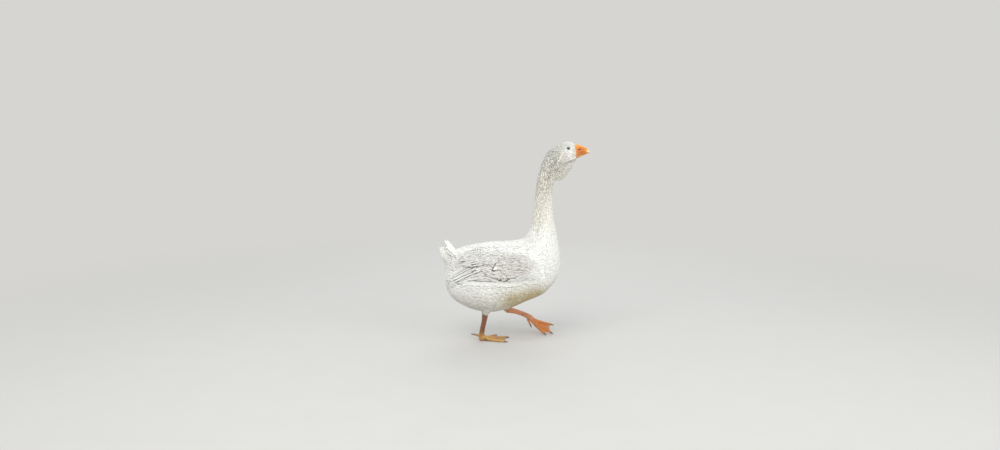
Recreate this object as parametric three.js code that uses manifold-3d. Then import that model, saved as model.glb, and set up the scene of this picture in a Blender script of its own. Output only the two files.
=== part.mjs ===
// A life-size white domestic goose in mid stride: neck up, right foot flat on the floor, left foot just landing.
// Millimetres, +X ahead (the bill), +Y to the bird's left, +Z up, floor at z = 0. Every solid is the outside of the
// plumage, skin or horn of one part of the bird, and neighbours stand a hair's breadth apart.
import * as THREE from "three";
import { mergeVertices } from "three/addons/utils/BufferGeometryUtils.js";
import Module from "manifold-3d";

const wasm = await Module();
wasm.setup();

// ---------------------------------------------------------------- driving sizes
const GAP = 0.3; // clearance between neighbouring solids

// The bird's outline from rump to bill. Each row is one slice across the body, given by its upper end and its lower end
// in the side view, its half width, how much wider it is below than above, and the power of its superellipse.
//   upper x, z   lower x, z   half  pear  power
const SLICES = [
  [-270, 298, -271, 258, 15, 0.0, 1.0], // end of the rump
  [-262, 332, -266, 212, 41, 0.05, 0.95],
  [-245, 354, -251, 180, 59, 0.12, 0.92],
  [-209, 371, -215, 151, 78, 0.18, 0.9],
  [-157, 384, -160, 127, 95, 0.18, 0.9], // paunch
  [-95, 393, -97, 117, 107, 0.14, 0.9],
  [-31, 396, -29, 128, 110, 0.08, 0.92],
  [20, 401, 39, 156, 104, 0.04, 0.94], // shoulders
  [44, 415, 121, 195, 92, 0.02, 0.96],
  [56, 436, 174, 268, 75, 0.0, 0.98], // breast
  [63, 458, 178, 351, 55, 0.0, 1.0],
  [69, 488, 164, 426, 44, 0.0, 1.0], // root of the neck
  [76, 535, 149, 511, 36, 0.0, 1.0],
  [81, 590, 146, 580, 31, 0.0, 1.0],
  [88, 642, 153, 622, 30, 0.0, 1.0],
  [101, 688, 167, 651, 30, 0.0, 1.0],
  [121, 732, 186, 678, 30.5, 0.06, 0.96], // nape
  [145, 759, 203, 694, 31.5, 0.14, 0.92],
  [174, 775, 216, 701, 31.5, 0.2, 0.9], // cheeks
  [202, 781, 227, 705, 28, 0.16, 0.9],
  [220, 778, 235, 710, 24.5, 0.08, 0.9], // lores
  [229, 772, 237, 717, 22, 0.0, 0.88], // where the bill begins
];
const NECK_CUT = 10; // the slice that parts trunk from neck
const HEAD_CUT = 15.4; // the place between slices that parts neck from head
const CUT_WIDTH = 0.008; // the clearance at those cuts, counted in slices
const SEGMENTS = { trunk: 26, neck: 20, head: 24 }; // points round each slice

const EYE = { x: 204, z: 756, radius: 7.6, proud: 1.4 };

const BILL = {
  ridge: [[229.5, 771.5], [251, 768], [269.5, 760], [280.5, 751.5], [287, 742.5]], // top line, base to tip
  gape: [[235.3, 730.5], [251, 733], [269.5, 738.5], [280, 739.5], [286, 738.5]], // where the halves meet
  keel: [[237.8, 717], [251, 723], [264, 729], [273.5, 733], [280, 736]], // bottom line
  half: [21.8, 18.8, 15.8, 12.6, 7], // half widths of the upper half, base to tip
  lowerShare: 0.86, // the lower half is this much narrower and lies inside the upper one's edge
  nostril: { x: 249, y: 17, z: 752, long: 6.5, high: 2.5, deep: 4, slope: 12 },
};

// The fold of loose skin under the chin: a keel in the middle plane, from the jaw down to a blunt foot on the neck.
const DEWLAP = {
  front: [[182, 637], [196, 648], [210, 667], [223, 689], [235, 714]],
  back: 144,
  half: [7, 12, 15, 17, 16],
};

// Folded wing, as seen from the side. Each layer lies over the next one, and all lie against the trunk. The lower and
// the upper edge run from the front to the tip; lift is how far the feathers stand out from the flank, and rear is the
// share of it that is left at the tip.
const WING = {
  coverts: {
    lower: [[88, 268], [61, 241], [19, 231], [-41, 233], [-98, 256]],
    upper: [[82, 318], [54, 344], [9, 357], [-51, 362], [-104, 359]],
    lift: 11.5,
    rear: 0.85,
    vanes: 4,
  },
  secondaries: {
    lower: [[-61, 268], [-108, 276], [-150, 262], [-196, 240], [-232, 219]],
    upper: [[-61, 360], [-120, 360], [-177, 346], [-225, 314], [-262, 228]],
    lift: 7,
    rear: 0.35,
    vanes: 6,
  },
  primaries: {
    lower: [[29, 242], [-41, 231], [-110, 226], [-175, 223], [-225, 214]],
    upper: [[23, 268], [-41, 286], [-110, 294], [-180, 268], [-246, 222]],
    lift: 4,
    rear: 0.35,
    vanes: 3,
  },
};
const WING_PROUD = 1.6; // the least height of a wing layer over the flank
const VANE_STEP = 1.4; // each vane stands this much over the next

// The cocked tail: a roof of stiff feathers, and the soft wedge of coverts under it.
const TAIL = { x: -188, z: 306, length: 130, spread: 37, rise: 52, droop: 19, vanes: 12, thick: 5 };
const TAIL_COVERTS = [
  // centre x, z, half height, half width
  [-205, 306, 52, 56],
  [-239, 328, 38, 44],
  [-265, 346, 25, 32],
  [-282, 360, 12, 20],
  [-290, 367, 4, 9],
];
const TAIL_COVERTS_LEAN = 48; // degrees; their sections face back and up, as the tail does

// The legs. Each path runs down the limb and ends at the ankle, which stands this high over a flat foot's sole. A foot
// is then turned inwards, pitched nose down and rolled, in degrees.
const ANKLE_HEIGHT = 20;
const RIGHT_LEG = {
  side: -1,
  thigh: [[-84, -60, 190], [-99, -53, 158], [-113, -46, 124]],
  shank: [[-114, -45, 120], [-119, -36, 84], [-126, -24, 50], [-130, -12, ANKLE_HEIGHT]],
  hindToe: [[-134, -12, 14], [-147, -12, 21], [-160, -12, 24]],
  spread: 1,
  toeIn: 16,
  pitch: 0,
  roll: 0,
  outerRise: 0,
};
const LEFT_LEG = {
  side: 1,
  thigh: [[-68, 64, 194], [-49, 62, 156], [-30, 60, 115]],
  shank: [[-24, 59, 106], [7, 64, 98], [38, 69, 86], [67, 74, 70]],
  hindToe: [[64, 72, 60], [62, 67, 52], [66, 64, 43]],
  spread: 0.5, // this foot comes down toes first and half folded
  toeIn: 0,
  pitch: 29.5,
  roll: 40,
  outerRise: 6,
};
const THIGH = [[32, 30], [24, 23], [14, 13]]; // half depth and half width, down the limb
const SHANK = [[12.8, 10.8], [10, 7.8], [9.8, 7.6], [11, 9.4]];

// Toes: turn from straight ahead in degrees (plus is outwards), length, and half thickness at root and end.
const TOES = {
  inner: { turn: -33, length: 82, root: 7, end: 4.2 },
  middle: { turn: -3, length: 104, root: 7.5, end: 4.4 },
  outer: { turn: 32, length: 95, root: 7, end: 4.2 },
};
const TOE_START = 6; // how far ahead of the ankle a toe begins
const TOE_ARCH = { height: 10, reach: 24 }; // toes come down from the ankle to the floor in this distance
const SOLE = 0.78; // a toe's centre line stands this share of its half thickness over its sole
const HIND_TOE = { root: 5.4, end: 3.4 };
const CLAW = { length: 13, root: 3.4, end: 0.9 };
const WEB = { thick: 2.6, bay: 0.24, reach: 0.93 };
const HEEL = { x: 1, z: 7.5, radius: 11.5 };

// ---------------------------------------------------------------- general shapes
const v3 = (x, y, z) => new THREE.Vector3(x, y, z);
const { clamp, lerp } = THREE.MathUtils;
const radians = THREE.MathUtils.degToRad;
const signedPower = (value, power) => Math.sign(value) * Math.abs(value) ** power;
const range = (count) => [...Array(count).keys()];
const turnOf = (j, count) => (2 * Math.PI * j) / count;

// Smooth (Catmull-Rom) reading between rows of numbers; t counts rows.
function through(rows, t) {
  const i = Math.min(Math.floor(t), rows.length - 2);
  const f = t - i;
  const [a, b, c, d] = [-1, 0, 1, 2].map((k) => rows[clamp(i + k, 0, rows.length - 1)]);
  return b.map((_, k) => {
    const curve = 2 * a[k] - 5 * b[k] + 4 * c[k] - d[k];
    const twist = 3 * b[k] - a[k] - 3 * c[k] + d[k];
    return 0.5 * (2 * b[k] + (c[k] - a[k]) * f + curve * f * f + twist * f ** 3);
  });
}

// The same, with t from 0 to 1 over all the rows, and for a plain list of numbers.
const along = (rows, t) => through(rows, t * (rows.length - 1));
const alongList = (list, t) => along(list.map((value) => [value]), t)[0];

// An indexed geometry whose faces point out, whichever way its triangles were first wound.
function shell(points, triangles) {
  const middle = points.reduce((sum, p) => sum.add(p), v3(0, 0, 0)).divideScalar(points.length);
  const [a, b, c] = [v3(0, 0, 0), v3(0, 0, 0), v3(0, 0, 0)];
  const volume = triangles.reduce((sum, [i, j, k]) => {
    a.copy(points[i]).sub(middle);
    b.copy(points[j]).sub(middle);
    c.copy(points[k]).sub(middle);
    return sum + a.dot(b.cross(c));
  }, 0);
  const index = triangles.flatMap(([i, j, k]) => (volume < 0 ? [i, k, j] : [i, j, k]));
  const geometry = new THREE.BufferGeometry();
  geometry.setAttribute("position", new THREE.Float32BufferAttribute(points.flatMap((p) => p.toArray()), 3));
  return geometry.setIndex(index);
}

// A closed skin through rings of equal count, with a fan over the first and the last ring.
function loft(rings) {
  const count = rings[0].length;
  const points = rings.flat();
  const triangles = [];
  const around = (i) => range(count).map((j) => [i * count + j, i * count + ((j + 1) % count)]);
  range(rings.length - 1).forEach((i) => {
    around(i).forEach(([a, b]) => triangles.push([a, b, b + count], [a, b + count, a + count]));
  });
  [0, rings.length - 1].forEach((i) => {
    const hub = points.length;
    points.push(rings[i].reduce((sum, p) => sum.add(p), v3(0, 0, 0)).divideScalar(count));
    around(i).forEach(([a, b]) => triangles.push(i ? [a, b, hub] : [b, a, hub]));
  });
  return shell(points, triangles);
}

// A closed plate: at(u, v, face) gives its two faces, 1 and -1, on a grid of rows by columns.
function plate(rows, columns, at) {
  const wide = columns + 1;
  const grid = (face) => range(rows + 1).flatMap((i) => range(wide).map((j) => at(i / rows, j / columns, face)));
  const points = [...grid(1), ...grid(-1)];
  const back = (rows + 1) * wide;
  const triangles = [];
  const quad = (a, b, c, d) => triangles.push([a, b, c], [a, c, d]);
  for (let i = 0; i < rows; i++)
    for (let j = 0; j < columns; j++) {
      const a = i * wide + j;
      quad(a, a + 1, a + wide + 1, a + wide);
      quad(back + a, back + a + wide, back + a + wide + 1, back + a + 1);
    }
  for (let i = 0; i < rows; i++) {
    const [a, b] = [i * wide, i * wide + columns];
    quad(a, a + wide, back + a + wide, back + a);
    quad(b, back + b, back + b + wide, b + wide);
  }
  for (let j = 0; j < columns; j++) {
    const [a, b] = [j, rows * wide + j];
    quad(a, back + a, back + a + 1, a + 1);
    quad(b, b + 1, back + b + 1, back + b);
  }
  return shell(points, triangles);
}

// A limb along a smooth path. size(t) gives its half depth and its half width, which lies near the bird's own side axis.
function limb(path, size, steps, count, grow = 0) {
  const line = new THREE.CatmullRomCurve3(path.map((p) => (p.isVector3 ? p : v3(...p))));
  const rings = range(steps + 1).map((i) => {
    const [fore, side] = size(i / steps);
    const direction = line.getTangent(i / steps);
    const across = v3(0, 1, 0).addScaledVector(direction, -direction.y).normalize();
    const ahead = v3(0, 0, 0).crossVectors(across, direction);
    return range(count).map((j) => {
      const p = line.getPoint(i / steps).addScaledVector(ahead, (fore + grow) * Math.cos(turnOf(j, count)));
      return p.addScaledVector(across, (side + grow) * Math.sin(turnOf(j, count)));
    });
  });
  return loft(rings);
}

// ---------------------------------------------------------------- cutting and joining
function solid(geometry) {
  const bare = new THREE.BufferGeometry().setAttribute("position", geometry.getAttribute("position"));
  const merged = mergeVertices(bare.setIndex(geometry.index), 1e-3);
  const vertProperties = new Float32Array(merged.attributes.position.array);
  const triVerts = new Uint32Array(merged.index.array);
  return new wasm.Manifold(new wasm.Mesh({ numProp: 3, vertProperties, triVerts }));
}

// The largest single body of a solid, as a geometry. Slivers that a cut leaves behind are dropped.
function geometryOf(cut) {
  const [largest] = cut.decompose().sort((a, b) => b.volume() - a.volume());
  const { numVert, numProp, vertProperties, triVerts } = largest.getMesh();
  const positions = range(numVert).flatMap((i) => [...vertProperties.subarray(i * numProp, i * numProp + 3)]);
  const geometry = new THREE.BufferGeometry();
  geometry.setAttribute("position", new THREE.Float32BufferAttribute(positions, 3));
  return geometry.setIndex([...triVerts]);
}

const less = (whole, ...cutters) => cutters.reduce((rest, cutter) => rest.subtract(cutter), whole);
const join = (...pieces) => pieces.reduce((sum, piece) => sum.add(piece));

// Everything over the floor, for feet that stand flat on it.
function overFloor() {
  const size = 2000; // larger than the bird
  return solid(new THREE.BoxGeometry(size, size, size).translate(0, 0, size / 2));
}

// ---------------------------------------------------------------- trunk, neck and head
// The skin point at slice s and turn round it (0 is the upper end), pushed outwards by grow.
function bodyPoint(s, turn, grow = 0) {
  const [dx, dz, vx, vz, half, pear, power] = through(SLICES, s);
  const spine = v3((dx - vx) / 2, 0, (dz - vz) / 2);
  const reach = (spine.length() + grow) / spine.length();
  const up = signedPower(Math.cos(turn), power);
  const out = signedPower(Math.sin(turn), power) * (1 - pear * up);
  return v3((dx + vx) / 2, 0, (dz + vz) / 2).addScaledVector(spine, up * reach).add(v3(0, out * (half + grow), 0));
}

// The part of the body between two slices, with so many rings to a slice.
function bodySolid(from, to, ringsPerSlice, count, grow = 0) {
  const steps = Math.round((to - from) * ringsPerSlice);
  const slices = range(steps + 1).map((i) => lerp(from, to, i / steps));
  return solid(loft(slices.map((s) => range(count).map((j) => bodyPoint(s, turnOf(j, count), grow)))));
}

const trunkSolid = (grow) => bodySolid(0, NECK_CUT - CUT_WIDTH / 2, 1.8, SEGMENTS.trunk, grow);
const neckSolid = (grow) => bodySolid(NECK_CUT + CUT_WIDTH / 2, HEAD_CUT - CUT_WIDTH / 2, 2, SEGMENTS.neck, grow);
const headSolid = (grow) => bodySolid(HEAD_CUT + CUT_WIDTH / 2, SLICES.length - 1, 2.2, SEGMENTS.head, grow);

// Half the body's width at a point of the side view, which may lie a little outside the outline. The slice that passes
// through the point is found by halving.
function halfWidthAt(x, z, from, to) {
  let [low, high] = [from, to];
  for (let step = 0; step < 24; step++) {
    const middle = (low + high) / 2;
    const [dx, dz, vx, vz] = through(SLICES, middle);
    const ahead = (x - vx) * (dz - vz) - (z - vz) * (dx - vx) > 0;
    if (ahead) low = middle;
    else high = middle;
  }
  const [dx, dz, vx, vz, half, pear, power] = through(SLICES, low);
  const reachSquared = ((dx - vx) ** 2 + (dz - vz) ** 2) / 4;
  const height = ((x - (dx + vx) / 2) * (dx - vx) + (z - (dz + vz) / 2) * (dz - vz)) / 2 / reachSquared;
  const up = clamp(height, -0.94, 0.94); // keeps clear of the outline itself, where the side is no longer steep
  const cosine = Math.abs(up) ** (1 / power);
  return half * Math.sqrt(1 - cosine * cosine) ** power * (1 - pear * up);
}

// ---------------------------------------------------------------- wings
// One layer of feathers on the flank; side is -1 on the right. Its outer face carries a shallow step for each vane.
function wingLayer(layer, side, grow = 0) {
  const depth = 12; // how far the layer reaches into the flank, before the trunk is cut from it
  const at = (u, v, face) => {
    const [lower, upper] = [along(layer.lower, u), along(layer.upper, u)];
    const [x, z] = [lerp(lower[0], upper[0], v), lerp(lower[1], upper[1], v)];
    const rim = (4 * v * (1 - v)) ** 0.3 * Math.min(1, 0.35 + 5 * u, layer.rear + 4 * (1 - u));
    const step = ((v * layer.vanes) % 1) * VANE_STEP;
    const out = face > 0 ? WING_PROUD + layer.lift * rim + step : -depth * rim - 2;
    return v3(x, side * (halfWidthAt(x, z, 0, NECK_CUT) + out + grow * face), z);
  };
  return solid(plate(8, layer.vanes * 2, at));
}

// ---------------------------------------------------------------- tail
// The fan's v runs across it, and its u from root to tip.
function tailFan(grow = 0) {
  const hidden = 30; // the fan's first stretch is inside the rump
  const at = (u, v, face) => {
    const across = 2 * v - 1;
    const sweep = radians(TAIL.spread) * across;
    const rise = radians(TAIL.rise - TAIL.droop * across * across);
    const scallop = 1 - 0.05 * Math.abs(Math.cos(Math.PI * v * TAIL.vanes)) - 0.06 * across * across;
    const ray = v3(-Math.cos(sweep) * Math.cos(rise), Math.sin(sweep), Math.cos(sweep) * Math.sin(rise));
    const lift = v3(Math.sin(rise), 0, Math.cos(rise));
    const thick = (TAIL.thick * (1 - 0.65 * u)) / 2 + grow;
    const root = v3(TAIL.x, 0, TAIL.z).addScaledVector(ray, lerp(hidden, TAIL.length * scallop, u));
    return root.addScaledVector(lift, thick * face);
  };
  return solid(plate(3, TAIL.vanes * 2, at));
}

function tailCovertsCone() {
  const [steps, count] = [7, 14];
  const lean = radians(TAIL_COVERTS_LEAN);
  const rings = range(steps + 1).map((i) => {
    const [x, z, high, wide] = along(TAIL_COVERTS, i / steps);
    return range(count).map((j) => {
      const height = high * Math.cos(turnOf(j, count));
      return v3(x + height * Math.sin(lean), wide * Math.sin(turnOf(j, count)), z + height * Math.cos(lean));
    });
  });
  return solid(loft(rings));
}

// ---------------------------------------------------------------- eyes, bill and dewlap
function eyeBall(side, grow = 0) {
  const out = halfWidthAt(EYE.x, EYE.z, HEAD_CUT, SLICES.length - 1) + EYE.proud - EYE.radius;
  return solid(new THREE.SphereGeometry(EYE.radius + grow, 14, 10).translate(EYE.x, side * out, EYE.z));
}

// One half of the bill, round on the side of its crest line and flat along its gape line.
function billHalf(crest, gape, share) {
  const [steps, count] = [10, 16];
  const rings = range(steps + 1).map((i) => {
    const t = i / steps;
    const [top, foot] = [along(crest, t), along(gape, t)];
    const half = alongList(BILL.half, t) * share;
    return range(count).map((j) => {
      const turn = Math.PI * (j / (count - 1) - 0.5); // from one edge over the crest to the other edge
      const height = Math.abs(Math.cos(turn)) ** 0.75;
      return v3(lerp(foot[0], top[0], height), half * signedPower(Math.sin(turn), 0.85), lerp(foot[1], top[1], height));
    });
  });
  return solid(loft(rings));
}

function upperBill() {
  const { x, y, z, long, high, deep, slope } = BILL.nostril;
  const nostrils = [-1, 1].map((side) => {
    const hollow = new THREE.SphereGeometry(1, 10, 6).scale(long, deep, high).rotateY(radians(slope));
    return solid(hollow.translate(x, side * y, z));
  });
  return less(billHalf(BILL.ridge, BILL.gape, 1), ...nostrils);
}

function lowerBill() {
  const gape = BILL.gape.map(([x, z]) => [x, z - GAP]);
  return billHalf(BILL.keel, gape, BILL.lowerShare);
}

function dewlapFold() {
  const [steps, count] = [8, 18];
  const rings = range(steps + 1).map((i) => {
    const [front, z] = along(DEWLAP.front, i / steps);
    const half = alongList(DEWLAP.half, i / steps);
    return range(count).map((j) => {
      const turn = turnOf(j, count);
      const x = (front + DEWLAP.back) / 2 + ((front - DEWLAP.back) / 2) * signedPower(Math.cos(turn), 0.8);
      return v3(x, half * signedPower(Math.sin(turn), 0.8), z);
    });
  });
  return solid(loft(rings));
}

// ---------------------------------------------------------------- legs and feet
const thighSolid = (leg) => solid(limb(leg.thigh, (t) => along(THIGH, t), 5, 14));
const shankSolid = (leg, grow = 0) => solid(limb(leg.shank, (t) => along(SHANK, t), 8, 12, grow));

// Carries a point of a flat foot's own frame, whose floor is under the ankle, to its place on the bird.
function placeOnFoot(leg, point) {
  const turned = new THREE.Euler(radians(leg.roll) * leg.side, radians(leg.pitch), 0, "YXZ");
  return point.clone().add(v3(0, 0, -ANKLE_HEIGHT)).applyEuler(turned).add(v3(...leg.shank.at(-1)));
}

// A point of a toe's centre line in the foot's own frame, at a distance along it from the ankle.
function toePoint(leg, name, distance) {
  const toe = TOES[name];
  const turn = radians(toe.turn * leg.spread - leg.toeIn) * leg.side;
  const rise = name === "outer" ? Math.tan(radians(leg.outerRise)) * distance : 0;
  const arch = TOE_ARCH.height * Math.exp(-((distance / TOE_ARCH.reach) ** 2));
  const centre = SOLE * lerp(toe.root, toe.end, Math.min(1, distance / toe.length));
  return v3(distance * Math.cos(turn), distance * Math.sin(turn), centre + arch + rise);
}

// A toe swells a little at each of its joints.
function toeSolid(leg, name) {
  const toe = TOES[name];
  const path = range(9).map((i) => placeOnFoot(leg, toePoint(leg, name, lerp(TOE_START, toe.length, i / 8))));
  const size = (t) => {
    const knuckle = 1 + 0.12 * Math.max(0, Math.sin(t * Math.PI * 5)) * (1 - 0.4 * t);
    return [lerp(toe.root, toe.end, t) * knuckle, lerp(toe.root, toe.end, t) * knuckle];
  };
  return solid(limb(path, size, 9, 8));
}

// A claw narrows from its root to a blunt end, and starts a gap past the end of its toe.
function clawSolid(path) {
  const size = (t) => [lerp(CLAW.root, CLAW.end, t), lerp(CLAW.root, CLAW.end, t)];
  return solid(limb(path, size, 3, 6));
}

function toeClaw(leg, name) {
  const { length } = TOES[name];
  const distances = [length + GAP, length + CLAW.length * 0.55, length + CLAW.length];
  const drop = [0, 0.2, 1.2]; // a claw curves down to its end
  return clawSolid(distances.map((d, i) => placeOnFoot(leg, toePoint(leg, name, d).add(v3(0, 0, -drop[i])))));
}

function hindToe(leg) {
  const size = (t) => [lerp(HIND_TOE.root, HIND_TOE.end, t), lerp(HIND_TOE.root, HIND_TOE.end, t)];
  return solid(limb(leg.hindToe, size, 4, 8));
}

function hindClaw(leg) {
  const [before, end] = leg.hindToe.slice(-2).map((p) => v3(...p));
  const ahead = end.clone().sub(before).normalize();
  return clawSolid([GAP, CLAW.length / 2, CLAW.length].map((d) => end.clone().addScaledVector(ahead, d)));
}

// The web between two toes, with a free edge that curves in between their tips.
function webSolid(leg, first, second) {
  const at = (u, v, face) => {
    const bay = WEB.reach * (1 - WEB.bay * Math.sin(Math.PI * v));
    const distance = lerp(TOE_START + 4, lerp(TOES[first].length, TOES[second].length, v) * bay, u);
    const sag = 1.4 * Math.sin(Math.PI * v) * u;
    const middle = toePoint(leg, first, distance).lerp(toePoint(leg, second, distance), v);
    return placeOnFoot(leg, middle.add(v3(0, 0, (WEB.thick / 2) * face - sag)));
  };
  return solid(plate(5, 4, at));
}

function footSolid(leg) {
  const heel = placeOnFoot(leg, v3(HEEL.x, 0, HEEL.z));
  const flesh = join(
    solid(new THREE.SphereGeometry(HEEL.radius, 12, 8).translate(heel.x, heel.y, heel.z)),
    ...Object.keys(TOES).map((name) => toeSolid(leg, name)),
    webSolid(leg, "inner", "middle"),
    webSolid(leg, "middle", "outer"),
    hindToe(leg),
  );
  return less(flesh, shankSolid(leg, GAP)).intersect(overFloor());
}

// ---------------------------------------------------------------- parts and their looks
const LOOKS = {
  plumage: { color: 0xe9e8e1, roughness: 0.85, metalness: 0 },
  bill: { color: 0xe08a35, roughness: 0.45, metalness: 0 },
  legSkin: { color: 0xd07f3c, roughness: 0.6, metalness: 0 },
  eye: { color: 0x2b3138, roughness: 0.08, metalness: 0 },
  claw: { color: 0x6b5a48, roughness: 0.4, metalness: 0 },
};

function part(name, look, made) {
  const mesh = new THREE.Mesh(geometryOf(made), new THREE.MeshStandardMaterial(LOOKS[look]));
  mesh.name = name;
  return mesh;
}

function groupOf(...members) {
  const group = new THREE.Group();
  members.forEach((member) => group.add(member));
  return group;
}

// The rooms that trunk, neck and head take up, with the clearance round them.
const trunkRoom = trunkSolid(GAP);
const neckRoom = neckSolid(GAP);
const headRoom = headSolid(GAP);

function wing(hand, side) {
  const { coverts, secondaries, primaries } = WING;
  const overCoverts = wingLayer(coverts, side, GAP);
  const overSecondaries = wingLayer(secondaries, side, GAP);
  return groupOf(
    part(`wing_${hand}_coverts`, "plumage", less(wingLayer(coverts, side), trunkRoom)),
    part(`wing_${hand}_secondaries`, "plumage", less(wingLayer(secondaries, side), trunkRoom, overCoverts)),
    part(
      `wing_${hand}_primaries`,
      "plumage",
      less(wingLayer(primaries, side), trunkRoom, overCoverts, overSecondaries),
    ),
  );
}

function head() {
  return groupOf(
    part("head", "plumage", less(headSolid(0), eyeBall(-1, GAP), eyeBall(1, GAP))),
    part("dewlap", "plumage", less(dewlapFold(), headRoom, neckRoom)),
    part("eye_right", "eye", eyeBall(-1)),
    part("eye_left", "eye", eyeBall(1)),
    part("bill_upper", "bill", upperBill()),
    part("bill_lower", "bill", lowerBill()),
  );
}

function tail() {
  return groupOf(
    part("tail", "plumage", less(tailFan(), trunkRoom)),
    part("tail_coverts", "plumage", less(tailCovertsCone(), trunkRoom, tailFan(GAP))),
  );
}

function legGroup(hand, leg) {
  const claws = Object.keys(TOES).map((name) => [name, toeClaw(leg, name)]);
  return groupOf(
    part(`thigh_${hand}`, "plumage", less(thighSolid(leg), trunkRoom, shankSolid(leg, GAP))),
    part(`shank_${hand}`, "legSkin", shankSolid(leg)),
    part(`foot_${hand}`, "legSkin", footSolid(leg)),
    ...[...claws, ["hind", hindClaw(leg)]].map(([name, claw]) => {
      return part(`claw_${hand}_${name}`, "claw", claw.intersect(overFloor()));
    }),
  );
}

// ---------------------------------------------------------------- assembly
const goose = groupOf(
  part("trunk", "plumage", trunkSolid(0)),
  part("neck", "plumage", neckSolid(0)),
  head(),
  wing("right", -1),
  wing("left", 1),
  tail(),
  legGroup("right", RIGHT_LEG),
  legGroup("left", LEFT_LEG),
);

// The origin is on the floor, under the middle of the bird's own box.
const box = new THREE.Box3().setFromObject(goose);
const centre = box.getCenter(v3(0, 0, 0));
goose.position.set(-centre.x, -centre.y, -box.min.z);

export default goose;
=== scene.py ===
"""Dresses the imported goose: one skin, feathers laid over it, bill, eyes, legs and claws, floor, lights and camera.

Metres, in the CAD model's frame: +X ahead, +Y to the bird's left, +Z up. Sizes in the tables are millimetres and are
turned into metres where they are read.
"""

import logging
import math
from collections.abc import Callable
from dataclasses import dataclass
from enum import Enum
from functools import cached_property

import bpy
import numpy as np
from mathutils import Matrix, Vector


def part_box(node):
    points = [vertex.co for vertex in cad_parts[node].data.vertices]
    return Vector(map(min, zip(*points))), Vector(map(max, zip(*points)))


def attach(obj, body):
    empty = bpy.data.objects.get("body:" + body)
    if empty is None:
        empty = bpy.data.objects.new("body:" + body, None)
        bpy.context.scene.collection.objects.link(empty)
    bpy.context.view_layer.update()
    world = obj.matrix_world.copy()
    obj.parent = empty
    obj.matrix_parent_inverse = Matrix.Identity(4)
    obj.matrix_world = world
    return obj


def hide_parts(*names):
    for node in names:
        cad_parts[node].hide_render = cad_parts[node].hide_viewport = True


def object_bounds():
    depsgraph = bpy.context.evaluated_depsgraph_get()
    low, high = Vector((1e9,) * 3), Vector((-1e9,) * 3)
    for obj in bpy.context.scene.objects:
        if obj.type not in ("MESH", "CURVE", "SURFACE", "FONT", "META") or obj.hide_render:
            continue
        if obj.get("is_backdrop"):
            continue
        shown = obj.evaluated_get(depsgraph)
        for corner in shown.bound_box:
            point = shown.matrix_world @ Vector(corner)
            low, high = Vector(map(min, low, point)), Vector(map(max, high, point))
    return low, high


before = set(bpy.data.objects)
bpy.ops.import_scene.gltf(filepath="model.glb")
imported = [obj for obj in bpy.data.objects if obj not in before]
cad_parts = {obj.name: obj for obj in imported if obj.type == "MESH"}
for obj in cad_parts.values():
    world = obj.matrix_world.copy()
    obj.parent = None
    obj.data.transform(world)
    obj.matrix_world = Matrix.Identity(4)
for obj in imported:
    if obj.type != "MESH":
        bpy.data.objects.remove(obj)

LOG = logging.getLogger("goose")
MM = 0.001
BAKE_MAP = "OFBake"  # the UV map that holds each feather's bake place
BAKE_PATCH = 0.003  # width of one feather on that map
STRAY = 0.022  # how far the edges of marks wander, metres
LEAST_SLOPE = 1e-4  # metres per unit of u or v, so that no step is divided by nothing
COLUMN_STEPS = 160  # how finely a column of roots is measured
PLUMAGE = "plumage"  # the name of the feathers' material
WHOLE_TURN = (0.0, 2 * math.pi)

Array = np.ndarray
Ramp = tuple[tuple[float, float], ...]  # (place, value) pairs in rising order of place
Path = list[list[float]]  # rows of millimetres
Shell = tuple[Array, Array]  # points and triangles of a closed shape
Triple = tuple[float, float, float]
Colour = Triple
Piece = bpy.types.Object
Material = bpy.types.Material


class Side(Enum):
    """The two sides of the bird, by the sign of their y."""

    RIGHT = -1
    LEFT = 1

    @property
    def hand(self) -> str:
        """The side's name in the CAD nodes."""
        return self.name.lower()


# ---- numbers and meshes
def read(ramp: Ramp, at: Array) -> Array:
    """A broken line through (place, value) pairs, read at places.

    Args:
        ramp: pairs in rising order of place.
        at: places to read.

    Returns:
        The values.
    """
    places, values = np.array(ramp, float).T
    return np.interp(at, places, values)


def through(rows: Array, t: Array) -> Array:
    """A Catmull-Rom curve through rows of numbers, where t counts rows.

    Args:
        rows: (rows, columns) array.
        t: places, of any shape; beyond the ends the curve runs straight on.

    Returns:
        Values of shape t.shape + (columns,).
    """
    t = np.asarray(t, float)
    last = len(rows) - 1
    inside = np.clip(t, 0, last)
    i = np.minimum(np.floor(inside).astype(int), last - 1)
    f = (inside - i)[..., None]
    a, b, c, d = (rows[np.clip(i + k, 0, last)] for k in (-1, 0, 1, 2))
    curve = 2 * a - 5 * b + 4 * c - d
    twist = 3 * b - a - 3 * c + d
    value = b + 0.5 * ((c - a) * f + curve * f**2 + twist * f**3)
    ends = np.where((t < 0)[..., None], rows[1] - rows[0], rows[-1] - rows[-2])
    return value + ends * (t - inside)[..., None]


def path_at(rows: Path, share: Array) -> Array:
    """A smooth curve in metres through rows of millimetres, from the first row at share 0 to the last at share 1."""
    return through(np.array(rows, float) * MM, np.asarray(share, float) * (len(rows) - 1))


def net(rows: Array, around: int) -> tuple[Array, Array]:
    """A grid of places: one row for each number given, and a whole turn along each row.

    Args:
        rows: first parameter of each row.
        around: how many places there are round it.

    Returns:
        Both parameters, of shape (rows, around).
    """
    return np.meshgrid(rows, 2 * math.pi * np.arange(around) / around, indexing="ij")


def signed_power(value: Array, power: Array | float) -> Array:
    """The power of a number's size, with the number's own sign."""
    return np.sign(value) * np.abs(value) ** power


def smooth(value: Array, low: float, high: float) -> Array:
    """A soft step from 0 at low to 1 at high."""
    t = np.clip((value - low) / (high - low), 0, 1)
    return t * t * (3 - 2 * t)


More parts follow.
